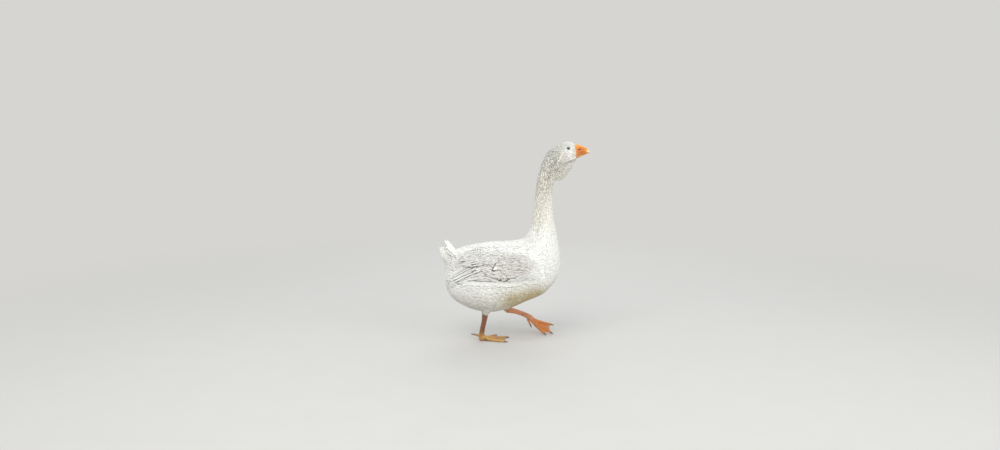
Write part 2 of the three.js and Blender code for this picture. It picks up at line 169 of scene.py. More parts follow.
def scatter(rng: np.random.Generator, kinds: int, count: int) -> Array:
    """Rows of normal random numbers, cut off at two spreads."""
    return rng.standard_normal((kinds, count)).clip(-2, 2)


def unit(vectors: Array) -> Array:
    """Vectors at length one."""
    return vectors / np.maximum(np.linalg.norm(vectors, axis=-1, keepdims=True), 1e-12)


def bump_at(x: Array, z: Array, place: tuple[float, float], wide: float, high: float, turn: float = 0.0) -> Array:
    """A round or oval hill of height 1 in the side view: exp of minus the squared distance in half widths.

    Args:
        x: places ahead, in metres.
        z: heights, in metres.
        place: the hill's x and z, in millimetres.
        wide: half width along its own long axis, in millimetres.
        high: half width across that axis, in millimetres.
        turn: turn of the long axis up from ahead, in degrees.

    Returns:
        The height, from 0 to 1.
    """
    dx, dz = x - place[0] * MM, z - place[1] * MM
    c, s = math.cos(math.radians(turn)), math.sin(math.radians(turn))
    return np.exp(-(((dx * c + dz * s) / (wide * MM)) ** 2) - ((dz * c - dx * s) / (high * MM)) ** 2)


def mesh_of(name: str, points: Array, triangles: Array) -> Piece:
    """Makes a smooth-shaded object at the origin.

    Args:
        name: the piece's name.
        points: (points, 3) array.
        triangles: (triangles, 3) array of point numbers.

    Returns:
        The object.
    """
    mesh = bpy.data.meshes.new(name)
    mesh.vertices.add(len(points))
    mesh.vertices.foreach_set("co", np.ascontiguousarray(points, np.float32).ravel())
    mesh.loops.add(triangles.size)
    mesh.loops.foreach_set("vertex_index", np.ascontiguousarray(triangles, np.int32).ravel())
    mesh.polygons.add(len(triangles))
    mesh.polygons.foreach_set("loop_start", np.arange(0, triangles.size, 3, dtype=np.int32))
    mesh.polygons.foreach_set("use_smooth", np.ones(len(triangles), bool))
    mesh.update(calc_edges=True)
    made = bpy.data.objects.new(name, mesh)
    bpy.context.scene.collection.objects.link(made)
    return made


def outward(points: Array, triangles: Array) -> Array:
    """The triangles of closed shells, turned so that each one's signed volume is positive.

    Args:
        points: (..., points, 3) array, one row of points for each shell.
        triangles: (triangles, 3) array of point numbers, the same for each shell.

    Returns:
        Triangles of shape (..., triangles, 3).
    """
    centred = points - points.mean(-2, keepdims=True)
    a, b, c = (centred[..., triangles[:, k], :] for k in range(3))
    volume = np.einsum("...ti,...ti->...", a, np.cross(b, c))[..., None, None]
    return np.where(volume > 0, triangles, triangles[:, ::-1])


def grid_triangles(rows: int, columns: int, closed: bool) -> Array:
    """Two triangles for each cell of a grid of points.

    Args:
        rows: rows of points.
        columns: points in each row.
        closed: whether each row closes on itself.

    Returns:
        The triangles.
    """
    cells = columns if closed else columns - 1
    i, j = np.meshgrid(np.arange(rows - 1), np.arange(cells), indexing="ij")
    a, b = i * columns + j, i * columns + (j + 1) % columns
    quads = np.stack([a, b, b + columns, a + columns], -1).reshape(-1, 4)
    return np.concatenate([quads[:, [0, 1, 2]], quads[:, [0, 2, 3]]])


def tube(rings: Array) -> Shell:
    """A closed skin through rings of points, with a fan to a hub over the first and the last ring.

    Args:
        rings: (rings, points, 3) array.

    Returns:
        Its points and its triangles, which face outwards.
    """
    count, around = rings.shape[:2]
    points = np.concatenate([rings.reshape(-1, 3), rings[:1].mean(1), rings[-1:].mean(1)])
    j = np.arange(around)
    nxt = (j + 1) % around
    first = np.stack([nxt, j, np.full(around, count * around)], -1)
    far = (count - 1) * around
    last = np.stack([far + j, far + nxt, np.full(around, count * around + 1)], -1)
    triangles = np.concatenate([grid_triangles(count, around, True), first, last])
    return points, outward(points, triangles)


def plate(top: Array, bottom: Array) -> Shell:
    """A closed plate between two grids of points of the same shape.

    Args:
        top: (rows, columns, 3) array.
        bottom: the other face, point under point.

    Returns:
        Its points and its triangles, which face outwards.
    """
    rows, columns = top.shape[:2]
    points = np.concatenate([top.reshape(-1, 3), bottom.reshape(-1, 3)])
    index = np.arange(rows * columns).reshape(rows, columns)
    rim = np.concatenate([index[0, :-1], index[:-1, -1], index[-1, :0:-1], index[:0:-1, 0]])
    nxt = np.roll(rim, -1)
    under = rows * columns
    face = grid_triangles(rows, columns, False)
    walls = np.concatenate([np.stack([nxt, rim, rim + under], -1), np.stack([nxt, rim + under, nxt + under], -1)])
    triangles = np.concatenate([face, face[:, ::-1] + under, walls])
    return points, outward(points, triangles)


# ---- surfaces that feathers lie on
class Surface:
    """A smooth sheet of two parameters, u along the lie of the feathers and v across it.

    Attributes:
        flow: 1 where feathers point to higher u, and -1 where they point to lower u.
        step: the parameter steps over which slopes are measured.
        turns: whether v is a turn round a middle line, rather than a share of a width.
    """

    flow: int = 1
    step: tuple[float, float] = (0.02, 0.05)
    turns: bool = True

    def at(self, u: Array, v: Array) -> Array:
        """The sheet's points.

        Args:
            u: how far along the sheet.
            v: how far across it, or the turn round it.

        Returns:
            The points, of shape u.shape + (3,).
        """
        raise NotImplementedError

    def line(self, u: Array) -> Array:
        """The middle line of a sheet that goes round one."""
        raise NotImplementedError

    def middle(self, u: Array, v: Array) -> Array:
        """A point inside the body behind each point of the sheet."""
        return self.line(np.asarray(u, float)) + np.zeros(np.shape(v) + (3,))

    def bake_place(self, u: Array, v: Array) -> Array:
        """The sheet unrolled on the unit square, v across and u up, of shape u.shape + (2,)."""
        across = (v / (2 * math.pi)) % 1.0 if self.turns else np.clip(v, 0, 1)
        return np.stack([across, np.clip(u, 0, 1)], -1) * 0.9 + 0.05

    def slopes(self, u: Array, v: Array) -> tuple[Array, Array, Array]:
        """Measures the sheet by small differences; normals point away from the sheet's own middle.

        Args:
            u: first parameter.
            v: second parameter.

        Returns:
            The unit normal, the metres per unit of u, and the metres per unit of v.
        """
        du, dv = self.step
        along = (self.at(u + du, v) - self.at(u - du, v)) / (2 * du)
        across = (self.at(u, v + dv) - self.at(u, v - dv)) / (2 * dv)
        normal = unit(np.cross(across, along))
        inwards = np.einsum("...i,...i->...", self.at(u, v) - self.middle(u, v), normal) < 0
        normal = np.where(inwards[..., None], -normal, normal)
        return normal, np.linalg.norm(along, axis=-1), np.linalg.norm(across, axis=-1)


# The bird's outline from rump to bill, as in the CAD: upper end x, z; lower end x, z; half width; pear; power.
SLICES = [
    [-270, 298, -271, 258, 15, 0.0, 1.0],
    [-262, 332, -266, 212, 41, 0.05, 0.95],
    [-245, 354, -251, 180, 59, 0.12, 0.92],
    [-209, 371, -215, 151, 78, 0.18, 0.9],
    [-157, 384, -160, 127, 95, 0.18, 0.9],
    [-95, 393, -97, 117, 107, 0.14, 0.9],
    [-31, 396, -29, 128, 110, 0.08, 0.92],
    [20, 401, 39, 156, 104, 0.04, 0.94],
    [44, 415, 121, 195, 92, 0.02, 0.96],
    [56, 436, 174, 268, 75, 0.0, 0.98],
    [63, 458, 178, 351, 55, 0.0, 1.0],
    [69, 488, 164, 426, 44, 0.0, 1.0],
    [76, 535, 149, 511, 36, 0.0, 1.0],
    [81, 590, 146, 580, 31, 0.0, 1.0],
    [88, 642, 153, 622, 30, 0.0, 1.0],
    [101, 688, 167, 651, 30, 0.0, 1.0],
    [121, 732, 186, 678, 30.5, 0.06, 0.96],
    [145, 759, 203, 694, 31.5, 0.14, 0.92],
    [174, 775, 216, 701, 31.5, 0.2, 0.9],
    [202, 781, 227, 705, 28, 0.16, 0.9],
    [220, 778, 235, 710, 24.5, 0.08, 0.9],
    [229, 772, 237, 717, 22, 0.0, 0.88],
]
LAST_SLICE = len(SLICES) - 1
NECK_SLICE = 10.0
NAPE_SLICE = 15.4

EYE = (204.0, 756.0)  # the eye's middle in the side view, millimetres
EYE_RADIUS = 7.6
RELIEF_FADE = 12.0  # the head's relief fades out over this half width, millimetres
HALVINGS = 17

# Hills and hollows of the head's sides: place, half widths, turn, and height in millimetres.
HEAD_RELIEF = [
    ((204, 756), 12.5, 10.5, 0, -1.5),  # eye socket
    ((203, 769), 17, 4.5, -4, 1.3),  # brow
    ((188, 732), 19, 12, -20, 1.6),  # cheek
    ((216, 741), 12, 6, 0, -1.2),  # lore, between eye and bill
    ((213, 715), 26, 2.6, 24, -2.2),  # crease behind the jaw
    ((171, 716), 22, 3.2, 62, -1.4),  # fold between cheek and neck
]


class Body(Surface):
    """Trunk, neck and head as one sheet: u counts slices from rump to bill, v is the turn from the upper end."""

    flow = -1
    step = (0.02, 0.02)

    def __init__(self) -> None:
        """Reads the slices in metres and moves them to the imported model's place, found from the place of an eye."""
        low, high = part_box("eye_right")
        self.offset = (low.x + high.x) / 2 - EYE[0] * MM
        self.rows = np.array(SLICES, float)
        self.rows[:, :5] *= MM
        self.rows[:, [0, 2]] += self.offset

    def at(self, u: Array, v: Array, inset: Array | float = 0.0) -> Array:
        """Middle + spine * cos(v)^power + y * half width * sin(v)^power * (1 - pear * up), plus the head's relief.

        Args:
            u: slice.
            v: turn.
            inset: how far the sheet is drawn in, in metres.

        Returns:
            The points.
        """
        dx, dz, vx, vz, half, pear, power = np.moveaxis(through(self.rows, u), -1, 0)
        ex, ez = (dx - vx) / 2, (dz - vz) / 2
        length = np.hypot(ex, ez)
        reach = (length - inset) / length
        up = signed_power(np.cos(v), power)
        out = signed_power(np.sin(v), power) * (1 - pear * up)
        x, z = (dx + vx) / 2 + ex * up * reach, (dz + vz) / 2 + ez * up * reach
        y = out * (half - inset)
        return np.stack([x, y + self.relief(x, y, z, u), z], -1)

    def relief(self, x: Array, y: Array, z: Array, u: Array) -> Array:
        """Sum of the head's hills, pushed out sideways and faded towards the middle plane.

        Args:
            x: places ahead.
            y: places aside.
            z: heights.
            u: slices; only those of the head get relief.

        Returns:
            What is added to y.
        """
        near = np.asarray(u) > NAPE_SLICE - 1.5
        if not near.any():
            return np.zeros_like(x)
        hills = sum(height * MM * bump_at(x - self.offset, z, *hill) for *hill, height in HEAD_RELIEF)
        return np.where(near, hills * np.clip(y / (RELIEF_FADE * MM), -1, 1), 0.0)

    def line(self, u: Array) -> Array:
        """The middles of the slices."""
        dx, dz, vx, vz = np.moveaxis(through(self.rows[:, :4], u), -1, 0)
        return np.stack([(dx + vx) / 2, np.zeros_like(dx), (dz + vz) / 2], -1)

    def bake_place(self, u: Array, v: Array) -> Array:
        """The turn across and the slice up."""
        return np.stack([(v / (2 * math.pi)) % 1.0, u / LAST_SLICE], -1)

    def half_width(self, x: Array, z: Array) -> Array:
        """Half the trunk's width at points of the side view; the slice through each point is found by halving.

        Args:
            x: places ahead.
            z: heights.

        Returns:
            The half widths, in metres.
        """
        a, b = np.zeros(np.shape(x)), np.full(np.shape(x), NECK_SLICE)
        for _ in range(HALVINGS):
            mid = (a + b) / 2
            dx, dz, vx, vz = np.moveaxis(through(self.rows[:, :4], mid), -1, 0)
            ahead = (x - vx) * (dz - vz) - (z - vz) * (dx - vx) > 0
            a, b = np.where(ahead, mid, a), np.where(ahead, b, mid)
        dx, dz, vx, vz, half, pear, power = np.moveaxis(through(self.rows, (a + b) / 2), -1, 0)
        reach = ((dx - vx) ** 2 + (dz - vz) ** 2) / 4
        up = ((x - (dx + vx) / 2) * (dx - vx) + (z - (dz + vz) / 2) * (dz - vz)) / 2 / reach
        up = np.clip(up, -0.94, 0.94)  # short of the edge, where the width would fall to nothing
        cosine = np.abs(up) ** (1 / power)
        return half * np.sqrt(1 - cosine**2) ** power * (1 - pear * up)


@dataclass
class Panel(Surface):
    """A sheet against the flank, between a lower and an upper path of the side view; u runs back to the tip.

    Attributes:
        body: the bird's trunk.
        side: which flank.
        lower: x, z of the lower edge, front to tip, millimetres.
        upper: x, z of the upper edge, front to tip, millimetres.
        out: metres out from the flank, as a function of u and v.
    """

    body: Body
    side: Side
    lower: Path
    upper: Path
    out: Callable[[Array, Array], Array]
    step: tuple[float, float] = (0.01, 0.02)

    def at(self, u: Array, v: Array) -> Array:
        """A point a share v of the way up between the two paths, set out sideways from the body's half width there."""
        low, high = path_at(self.lower, u), path_at(self.upper, u)
        x, z = np.moveaxis(low + (high - low) * np.asarray(v)[..., None], -1, 0)
        x = x + self.body.offset
        return np.stack([x, self.side.value * (self.body.half_width(x, z) + self.out(u, v)), z], -1)

    def middle(self, u: Array, v: Array) -> Array:
        """The same point on the middle plane."""
        return self.at(u, v) * np.array([1.0, 0.0, 1.0])

    def bake_place(self, u: Array, v: Array) -> Array:
        """The sheet's own two shares."""
        return np.stack([np.clip(u, 0, 1), np.clip(v, 0, 1)], -1) * 0.9 + 0.05


@dataclass
class Limb(Surface):
    """A round limb along a smooth path; u runs down it from 0 to 1 and v turns round it from ahead.

    Attributes:
        path: x, y, z down the limb, millimetres.
        size: half depth and half width at equal steps down it, millimetres.
        offset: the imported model's shift ahead.
        inset: how far the sheet is drawn in, millimetres.
    """

    path: Path
    size: Path
    offset: float
    inset: float = 0.0

    def line(self, u: Array) -> Array:
        """The middle line."""
        return path_at(self.path, u) + np.array([self.offset, 0, 0])

    def at(self, u: Array, v: Array) -> Array:
        """Line + ahead * depth * cos(v) + across * width * sin(v), with both axes square to the line."""
        along = unit(self.line(u + 0.02) - self.line(u - 0.02))
        across = unit(np.array([0.0, 1.0, 0.0]) - along * along[..., 1:2])
        fore, wide = np.moveaxis(path_at(self.size, u) - self.inset * MM, -1, 0)
        ahead = np.cross(across, along)
        return self.line(u) + ahead * (fore * np.cos(v))[..., None] + across * (wide * np.sin(v))[..., None]


@dataclass
class Cone(Surface):
    """The soft wedge of coverts under and over the tail's root; u runs to its tip and v turns round it from above.

    Attributes:
        offset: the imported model's shift ahead.
        inset: how far the sheet is drawn in, millimetres.
    """

    offset: float
    inset: float = 0.0

    ROWS = [[-205, 306, 52, 56], [-239, 328, 38, 44], [-265, 346, 25, 32], [-282, 360, 12, 20], [-290, 367, 4, 9]]
    LEAN = math.radians(48)
    LEAST = 0.3  # the half height and width never fall below this, mm

    def line(self, u: Array) -> Array:
        """The centre line."""
        x, z, _, _ = np.moveaxis(path_at(self.ROWS, u), -1, 0)
        return np.stack([x + self.offset, np.zeros_like(x), z], -1)

    def at(self, u: Array, v: Array) -> Array:
        """Centre + leaning height * cos(v) + width * sin(v)."""
        _, _, high, wide = np.moveaxis(path_at(self.ROWS, u), -1, 0)
        high = np.maximum(high - self.inset * MM, self.LEAST * MM) * np.cos(v)
        wide = np.maximum(wide - self.inset * MM, self.LEAST * MM) * np.sin(v)
        return self.line(u) + np.stack([high * math.sin(self.LEAN), wide, high * math.cos(self.LEAN)], -1)


@dataclass
class Pouch(Surface):
    """The dewlap: level slices from its blunt foot (u 0) up to the jaw (u 1); v turns round it from its front.

    Attributes:
        offset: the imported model's shift ahead.
        inset: how far the sheet is drawn in, millimetres.
    """

    offset: float
    inset: float = 0.0
    flow: int = -1

    BACK = 144
    ROWS = [[182, 637, 7], [196, 648, 12], [210, 667, 15], [223, 689, 17], [235, 714, 16]]  # front, height, half width
    SQUARE = 0.8  # power of cosine and sine; 1 is an ellipse

    def line(self, u: Array) -> Array:
        """The middles of the slices."""
        front, z, _ = np.moveaxis(path_at(self.ROWS, u), -1, 0)
        return np.stack([(front + self.BACK * MM) / 2 + self.offset, np.zeros_like(z), z], -1)

    def at(self, u: Array, v: Array) -> Array:
        """Middle of the slice + length * cos(v)^0.8 ahead + half width * sin(v)^0.8 sideways."""
        front, _, half = np.moveaxis(path_at(self.ROWS, u), -1, 0)
        long = ((front - self.BACK * MM) / 2 - self.inset * MM) * signed_power(np.cos(v), self.SQUARE)
        wide = (half - self.inset * MM) * signed_power(np.sin(v), self.SQUARE)
        return self.line(u) + np.stack([long, wide, np.zeros_like(long)], -1)


@dataclass
class Fan(Surface):
    """The cocked fan of the tail: u runs from its root to its edge and v across it from right to left.

    Attributes:
        offset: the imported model's shift ahead.
    """

    offset: float
    step: tuple[float, float] = (0.02, 0.02)
    turns: bool = False

    ROOT = (-188, 0, 306)
    LENGTH = 130
    SPREAD, RISE, DROOP = 37, 52, 15  # degrees

    def at(self, u: Array, v: Array) -> Array:
        """Root + ray * length * u, where the ray sweeps with v and its rise droops towards both sides."""
        across = 2 * np.asarray(v, float) - 1
        sweep = np.radians(self.SPREAD) * across
        rise = np.radians(self.RISE - self.DROOP * across**2)
        ray = np.stack([-np.cos(sweep) * np.cos(rise), np.sin(sweep), np.cos(sweep) * np.sin(rise)], -1)
        root = np.array(self.ROOT) * MM + np.array([self.offset, 0, 0])
        return root + ray * (self.LENGTH * MM * np.asarray(u, float))[..., None]

    def middle(self, u: Array, v: Array) -> Array:
        """A point under the fan, so that its normals face up."""
        return self.at(u, v) - np.array([0.3, 0.0, 0.5])


# ---- feathers
@dataclass(frozen=True)
class Vane:
    """The grid of one closed feather.

    Attributes:
        rows: shares of its length at its rows, root first; the tip comes after the last.
        widths: share of the half width at each row.
        columns: places across, from -1 to 1.
        ridge: height of the shaft over the vane, as a share of the thickness.
    """

    rows: tuple[float, ...]
    widths: tuple[float, ...]
    columns: tuple[float, ...]
    ridge: float = 0.0

    def layout(self) -> tuple[Array, Array, Array, Array, int]:
        """Lays out the grid: a full upper face, the tip, and a flat lower face from edge to edge.

        Returns:
            Place across, place along, share of half width, triangles, and how many of them, the first, face up.
        """
        rows, cols = len(self.rows), len(self.columns)
        grids = np.broadcast_arrays(
            np.array(self.columns)[None], np.array(self.rows)[:, None], np.array(self.widths)[:, None]
        )
        across, along, width = (np.append(grid.ravel(), end) for grid, end in zip(grids, (0.0, 1.0, 0.0)))
        upper = np.arange(rows * cols).reshape(rows, cols)
        tip, root = rows * cols, upper[0]
        closing = np.stack([np.full(cols - 2, root[0]), root[2:], root[1:-1]], -1)
        faces = [self._face(upper, tip), self._face(upper[:, [0, -1]], tip)[:, ::-1], closing]
        return across, along, width, np.concatenate(faces), len(faces[0])

    @staticmethod
    def _face(index: Array, tip: int) -> Array:
        """Triangles over one face of the grid and on to the tip.

        Args:
            index: the face's point numbers, row by row.
            tip: the tip's number.

        Returns:
            The triangles.
        """
        a, b, c, d = index[:-1, :-1], index[:-1, 1:], index[1:, 1:], index[1:, :-1]
        quads = np.stack([a, b, c, d], -1).reshape(-1, 4)
        last = np.stack([index[-1, :-1], index[-1, 1:], np.full(index.shape[1] - 1, tip)], -1)
        return np.concatenate([quads[:, [0, 1, 2]], quads[:, [0, 2, 3]], last])


class Shape(Enum):
    """The kinds of feather, by how finely each is cut."""

    TUFT = Vane((0, 0.4, 0.76), (0.6, 1.0, 0.62), (-1, 0, 1))
    RIDGE = Vane((0, 0.4, 0.75, 0.94), (0.6, 1.0, 0.9, 0.5), (-1, -0.5, 0, 0.5, 1))
    BODY = Vane((0, 0.35, 0.68, 0.9), (0.5, 1.0, 0.86, 0.46), (-1, -0.5, 0, 0.5, 1))
    LOCK = Vane((0, 0.35, 0.7, 0.9), (0.6, 1.0, 0.7, 0.35), (-1, -0.45, 0, 0.45, 1))
    COVERT = Vane((0, 0.25, 0.5, 0.74, 0.89, 0.97), (0.45, 0.9, 1.0, 0.95, 0.68, 0.34), (-1, -0.2, 0, 0.2, 1), 0.4)
    QUILL = Vane(
        (0, 0.07, 0.14, 0.22, 0.3, 0.38, 0.46, 0.54, 0.62, 0.7, 0.77, 0.83, 0.88, 0.925, 0.96, 0.985),
        (0.3, 0.6, 0.85, 0.98, 1.0, 1.0, 1.0, 1.0, 1.0, 0.98, 0.94, 0.87, 0.77, 0.62, 0.44, 0.26),
        (-1, -0.72, -0.4, -0.09, 0, 0.09, 0.4, 0.72, 1),
        1.6,
    )


@dataclass
class Bed:
    """Where a set of feathers is rooted and how each one is cut; arrays of one number for each feather.

    Attributes:
        u: root's place along the sheet.
        v: root's place across it.
        length: metres.
        width: metres, the full width.
        yaw: turn from the sheet's own flow, radians.
        curl: sideways bend at the tip, as a share of the length.
        sink: how deep the root lies under the sheet, metres.
        rise: how high the tip stands over it, metres.
        camber: how far the edges droop under the shaft, metres.
        roll: how far the edge at +1 stands over the edge at -1, metres.
        thick: thickness, metres.
        seed: a random number from 0 to 1 that colours the feather.
        ragged: how uneven the outline is, as a share of the half width.
        settle: how fast the shaft comes up from its root; 1 is evenly.
    """

    u: Array
    v: Array
    length: Array
    width: Array
    yaw: Array
    curl: Array
    sink: Array
    rise: Array
    camber: Array
    roll: Array
    thick: Array
    seed: Array
    ragged: float = 0.1
    settle: float = 1.15


@dataclass
class Plumes:
    """Laid feathers.

    Attributes:
        points: (feathers, points, 3) array.
        vane: their vane numbers.
        place: their bake places.
        triangles: one grid's triangles.
        upper: how many of those, the first, make the upper face.
    """

    points: Array
    vane: Array
    place: Array
    triangles: Array
    upper: int


def lay(surface: Surface, shape: Shape, bed: Bed, rng: np.random.Generator) -> Plumes:
    """Lays feathers along a surface.

    Each shaft follows the sheet: it steps along u by length over metres per unit, and across v by the same rule. A
    point then stands off the sheet by -sink at the root, rising to the tip's rise, less the camber and the thickness
    times the square of its place across, plus the roll times that place, plus the shaft's ridge.

    Args:
        surface: the sheet.
        shape: the feather's grid.
        bed: roots and sizes.
        rng: random numbers for the outlines.

    Returns:
        The laid feathers.
    """
    vane = shape.value
    across, along, width, triangles, upper = vane.layout()
    rows = np.array(vane.rows + (1.0,))
    feathers = len(bed.u)
    u, v = bed.u.astype(float), bed.v.astype(float)
    normals, centre_u, centre_v, per_u, per_v = [], [], [], [], []
    for i, share in enumerate(rows):
        if i:
            step = (share - rows[i - 1]) * bed.length
            turn = bed.yaw + bed.curl * share * 2
            u = u + surface.flow * step * np.cos(turn) / per_u[-1]
            v = v + step * np.sin(turn) / per_v[-1]
        normal, by_u, by_v = surface.slopes(u, v)
        normals.append(normal)
        centre_u.append(u)
        centre_v.append(v)
        per_u.append(np.maximum(by_u, LEAST_SLOPE))
        per_v.append(np.maximum(by_v, LEAST_SLOPE))
    row_of = np.searchsorted(rows, along - 1e-9)
    pick = lambda parts: np.stack(parts, 1)[:, row_of]
    uneven = 1 + bed.ragged * (rng.random((feathers, len(rows), 2)) - 0.5) * 2
    edge = np.where(across[None] < 0, uneven[:, row_of, 0], uneven[:, row_of, 1])
    offset = across * width * edge * bed.width[:, None] / 2
    turn = bed.yaw[:, None] + 2 * bed.curl[:, None] * along
    vertex_u = pick(centre_u) - surface.flow * offset * np.sin(turn) / pick(per_u)
    vertex_v = pick(centre_v) + offset * np.cos(turn) / pick(per_v)
    base = surface.at(vertex_u, vertex_v)
    height = -bed.sink[:, None] * (1 - along) ** bed.settle + bed.rise[:, None] * along**1.5
    thick = bed.thick[:, None] * (1 - 0.6 * along)
    shaft = vane.ridge * thick * (np.abs(across) < 0.01) * (1 - 0.8 * along)
    droop = (bed.camber[:, None] * width**2 + thick) * across**2
    height = height - droop + bed.roll[:, None] * across * width + shaft
    points = base + pick(normals) * height[..., None]
    attributes = np.stack(np.broadcast_arrays(across[None], along[None], bed.seed[:, None]), -1)
    root = surface.bake_place(bed.u, bed.v)[:, None]
    patch = np.stack([across * 0.5, along - 0.5], -1) * BAKE_PATCH
    return Plumes(points, attributes, root + patch[None], triangles, upper)


def plume_piece(name: str, finish: Material, sets: list[Plumes], *replaced: str) -> Piece:
    """One piece from sets of laid feathers, with their vane numbers and their bake map.

    Args:
        name: the piece's name.
        finish: the plumage.
        sets: the laid feathers, which may have different grids.
        replaced: the CAD nodes that it stands for.

    Returns:
        The piece.
    """
    points, vane, triangles, places, soft, start = [], [], [], [], [], 0
    for one in sets:
        feathers, count = one.points.shape[:2]
        points.append(one.points.reshape(-1, 3))
        vane.append(one.vane.reshape(-1, 3))
        places.append(one.place.reshape(-1, 2))
        first = start + np.arange(feathers)[:, None, None] * count
        triangles.append((outward(one.points, one.triangles) + first).reshape(-1, 3))
        soft.append(np.tile(np.arange(len(one.triangles)) < one.upper, feathers))
        start += feathers * count
    made = mesh_of(name, np.concatenate(points), np.concatenate(triangles))
    mesh = made.data
    mesh.polygons.foreach_set("use_smooth", np.concatenate(soft))  # a flat lower face keeps the rim crisp
    attribute = mesh.attributes.new("vane", "FLOAT_VECTOR", "POINT")
    attribute.data.foreach_set("vector", np.concatenate(vane).astype(np.float32).ravel())
    layer = mesh.uv_layers.new(name=BAKE_MAP)
    corners = np.zeros(len(mesh.loops), np.int32)
    mesh.loops.foreach_get("vertex_index", corners)
    layer.data.foreach_set("uv", np.concatenate(places)[corners].astype(np.float32).ravel())
    return finish_piece(made, finish, PLUMAGE, *replaced)


# ---- shader maths
def operator(kind: str, reflected: bool = False) -> Callable[["Node", "Node | float"], "Node"]:
    """Makes a Python operator that adds one Math node.

    Args:
        kind: the Math node's operation.
        reflected: whether the wrapped socket comes second, as in 1 - mask.

    Returns:
        The operator's method.
    """

    def apply(self: "Node", other: "Node | float" = 0.0) -> "Node":
        """The operation on this socket and another value."""
        first, second = (other, self) if reflected else (self, other)
        return add(self.tree, "ShaderNodeMath", {"operation": kind}, {0: first, 1: second})

    return apply


class Node:
    """A shader socket that takes part in Python expressions, which add Math nodes to its tree."""

    __add__, __radd__ = operator("ADD"), operator("ADD", True)
    __sub__, __rsub__ = operator("SUBTRACT"), operator("SUBTRACT", True)
    __mul__, __rmul__ = operator("MULTIPLY"), operator("MULTIPLY", True)
    __truediv__, __pow__ = operator("DIVIDE"), operator("POWER")
    magnitude, sine = operator("ABSOLUTE"), operator("SINE")

    def __init__(self, tree: bpy.types.NodeTree, socket: bpy.types.NodeSocket) -> None:
        """Wraps one output socket."""
        self.tree = tree
        self.socket = socket

    def parts(self) -> list["Node"]:
        """A vector's three numbers."""
        split = add(self.tree, "ShaderNodeSeparateXYZ", {}, {0: self}).socket.node
        return [Node(self.tree, output) for output in split.outputs]

    def held(self) -> "Node":
        """The number kept between 0 and 1."""
        return add(self.tree, "ShaderNodeClamp", {}, {"Value": self})

    def step(self, low: float, high: float) -> "Node":
        """A soft step from 0 at low to 1 at high, which may be given in falling order."""
        settings = {"interpolation_type": "SMOOTHSTEP"}
        return add(self.tree, "ShaderNodeMapRange", settings, {"Value": self, "From Min": low, "From Max": high})


def add(
    tree: bpy.types.NodeTree,
    kind: str,
    settings: dict[str, object],
    inputs: dict[str | int, object],
    output: str | int = 0,
) -> Node:
    """Adds one node: its settings first, then its inputs' links or values.

    Args:
        tree: the material's tree.
        kind: the node's type.
        settings: its properties by name.
        inputs: socket name or number to a Node or a value.
        output: the socket to hand back.

    Returns:
        That output socket, wrapped.
    """
    node = tree.nodes.new(kind)
    for key, value in settings.items():
        setattr(node, key, value)
    for key, value in inputs.items():
        feed(tree, node.inputs[key], value)
    return Node(tree, node.outputs[output])


def feed(tree: bpy.types.NodeTree, socket: bpy.types.NodeSocket, value: object) -> None:
    """Links a Node to an input socket, or sets the socket's value.

    Args:
        tree: the material's tree.
        socket: the input.
        value: a Node, a number, or a tuple of three numbers.
    """
    if isinstance(value, Node):
        tree.links.new(value.socket, socket)
    elif isinstance(value, tuple) and socket.type == "RGBA":
        socket.default_value = (*value, 1.0)
    else:
        socket.default_value = value


def linear(red: int, green: int, blue: int) -> Colour:
    """A screen colour of 0 to 255 as the linear colour that shaders take."""
    shares = np.array([red, green, blue]) / 255
    return tuple(np.where(shares <= 0.04045, shares / 12.92, ((shares + 0.055) / 1.055) ** 2.4))


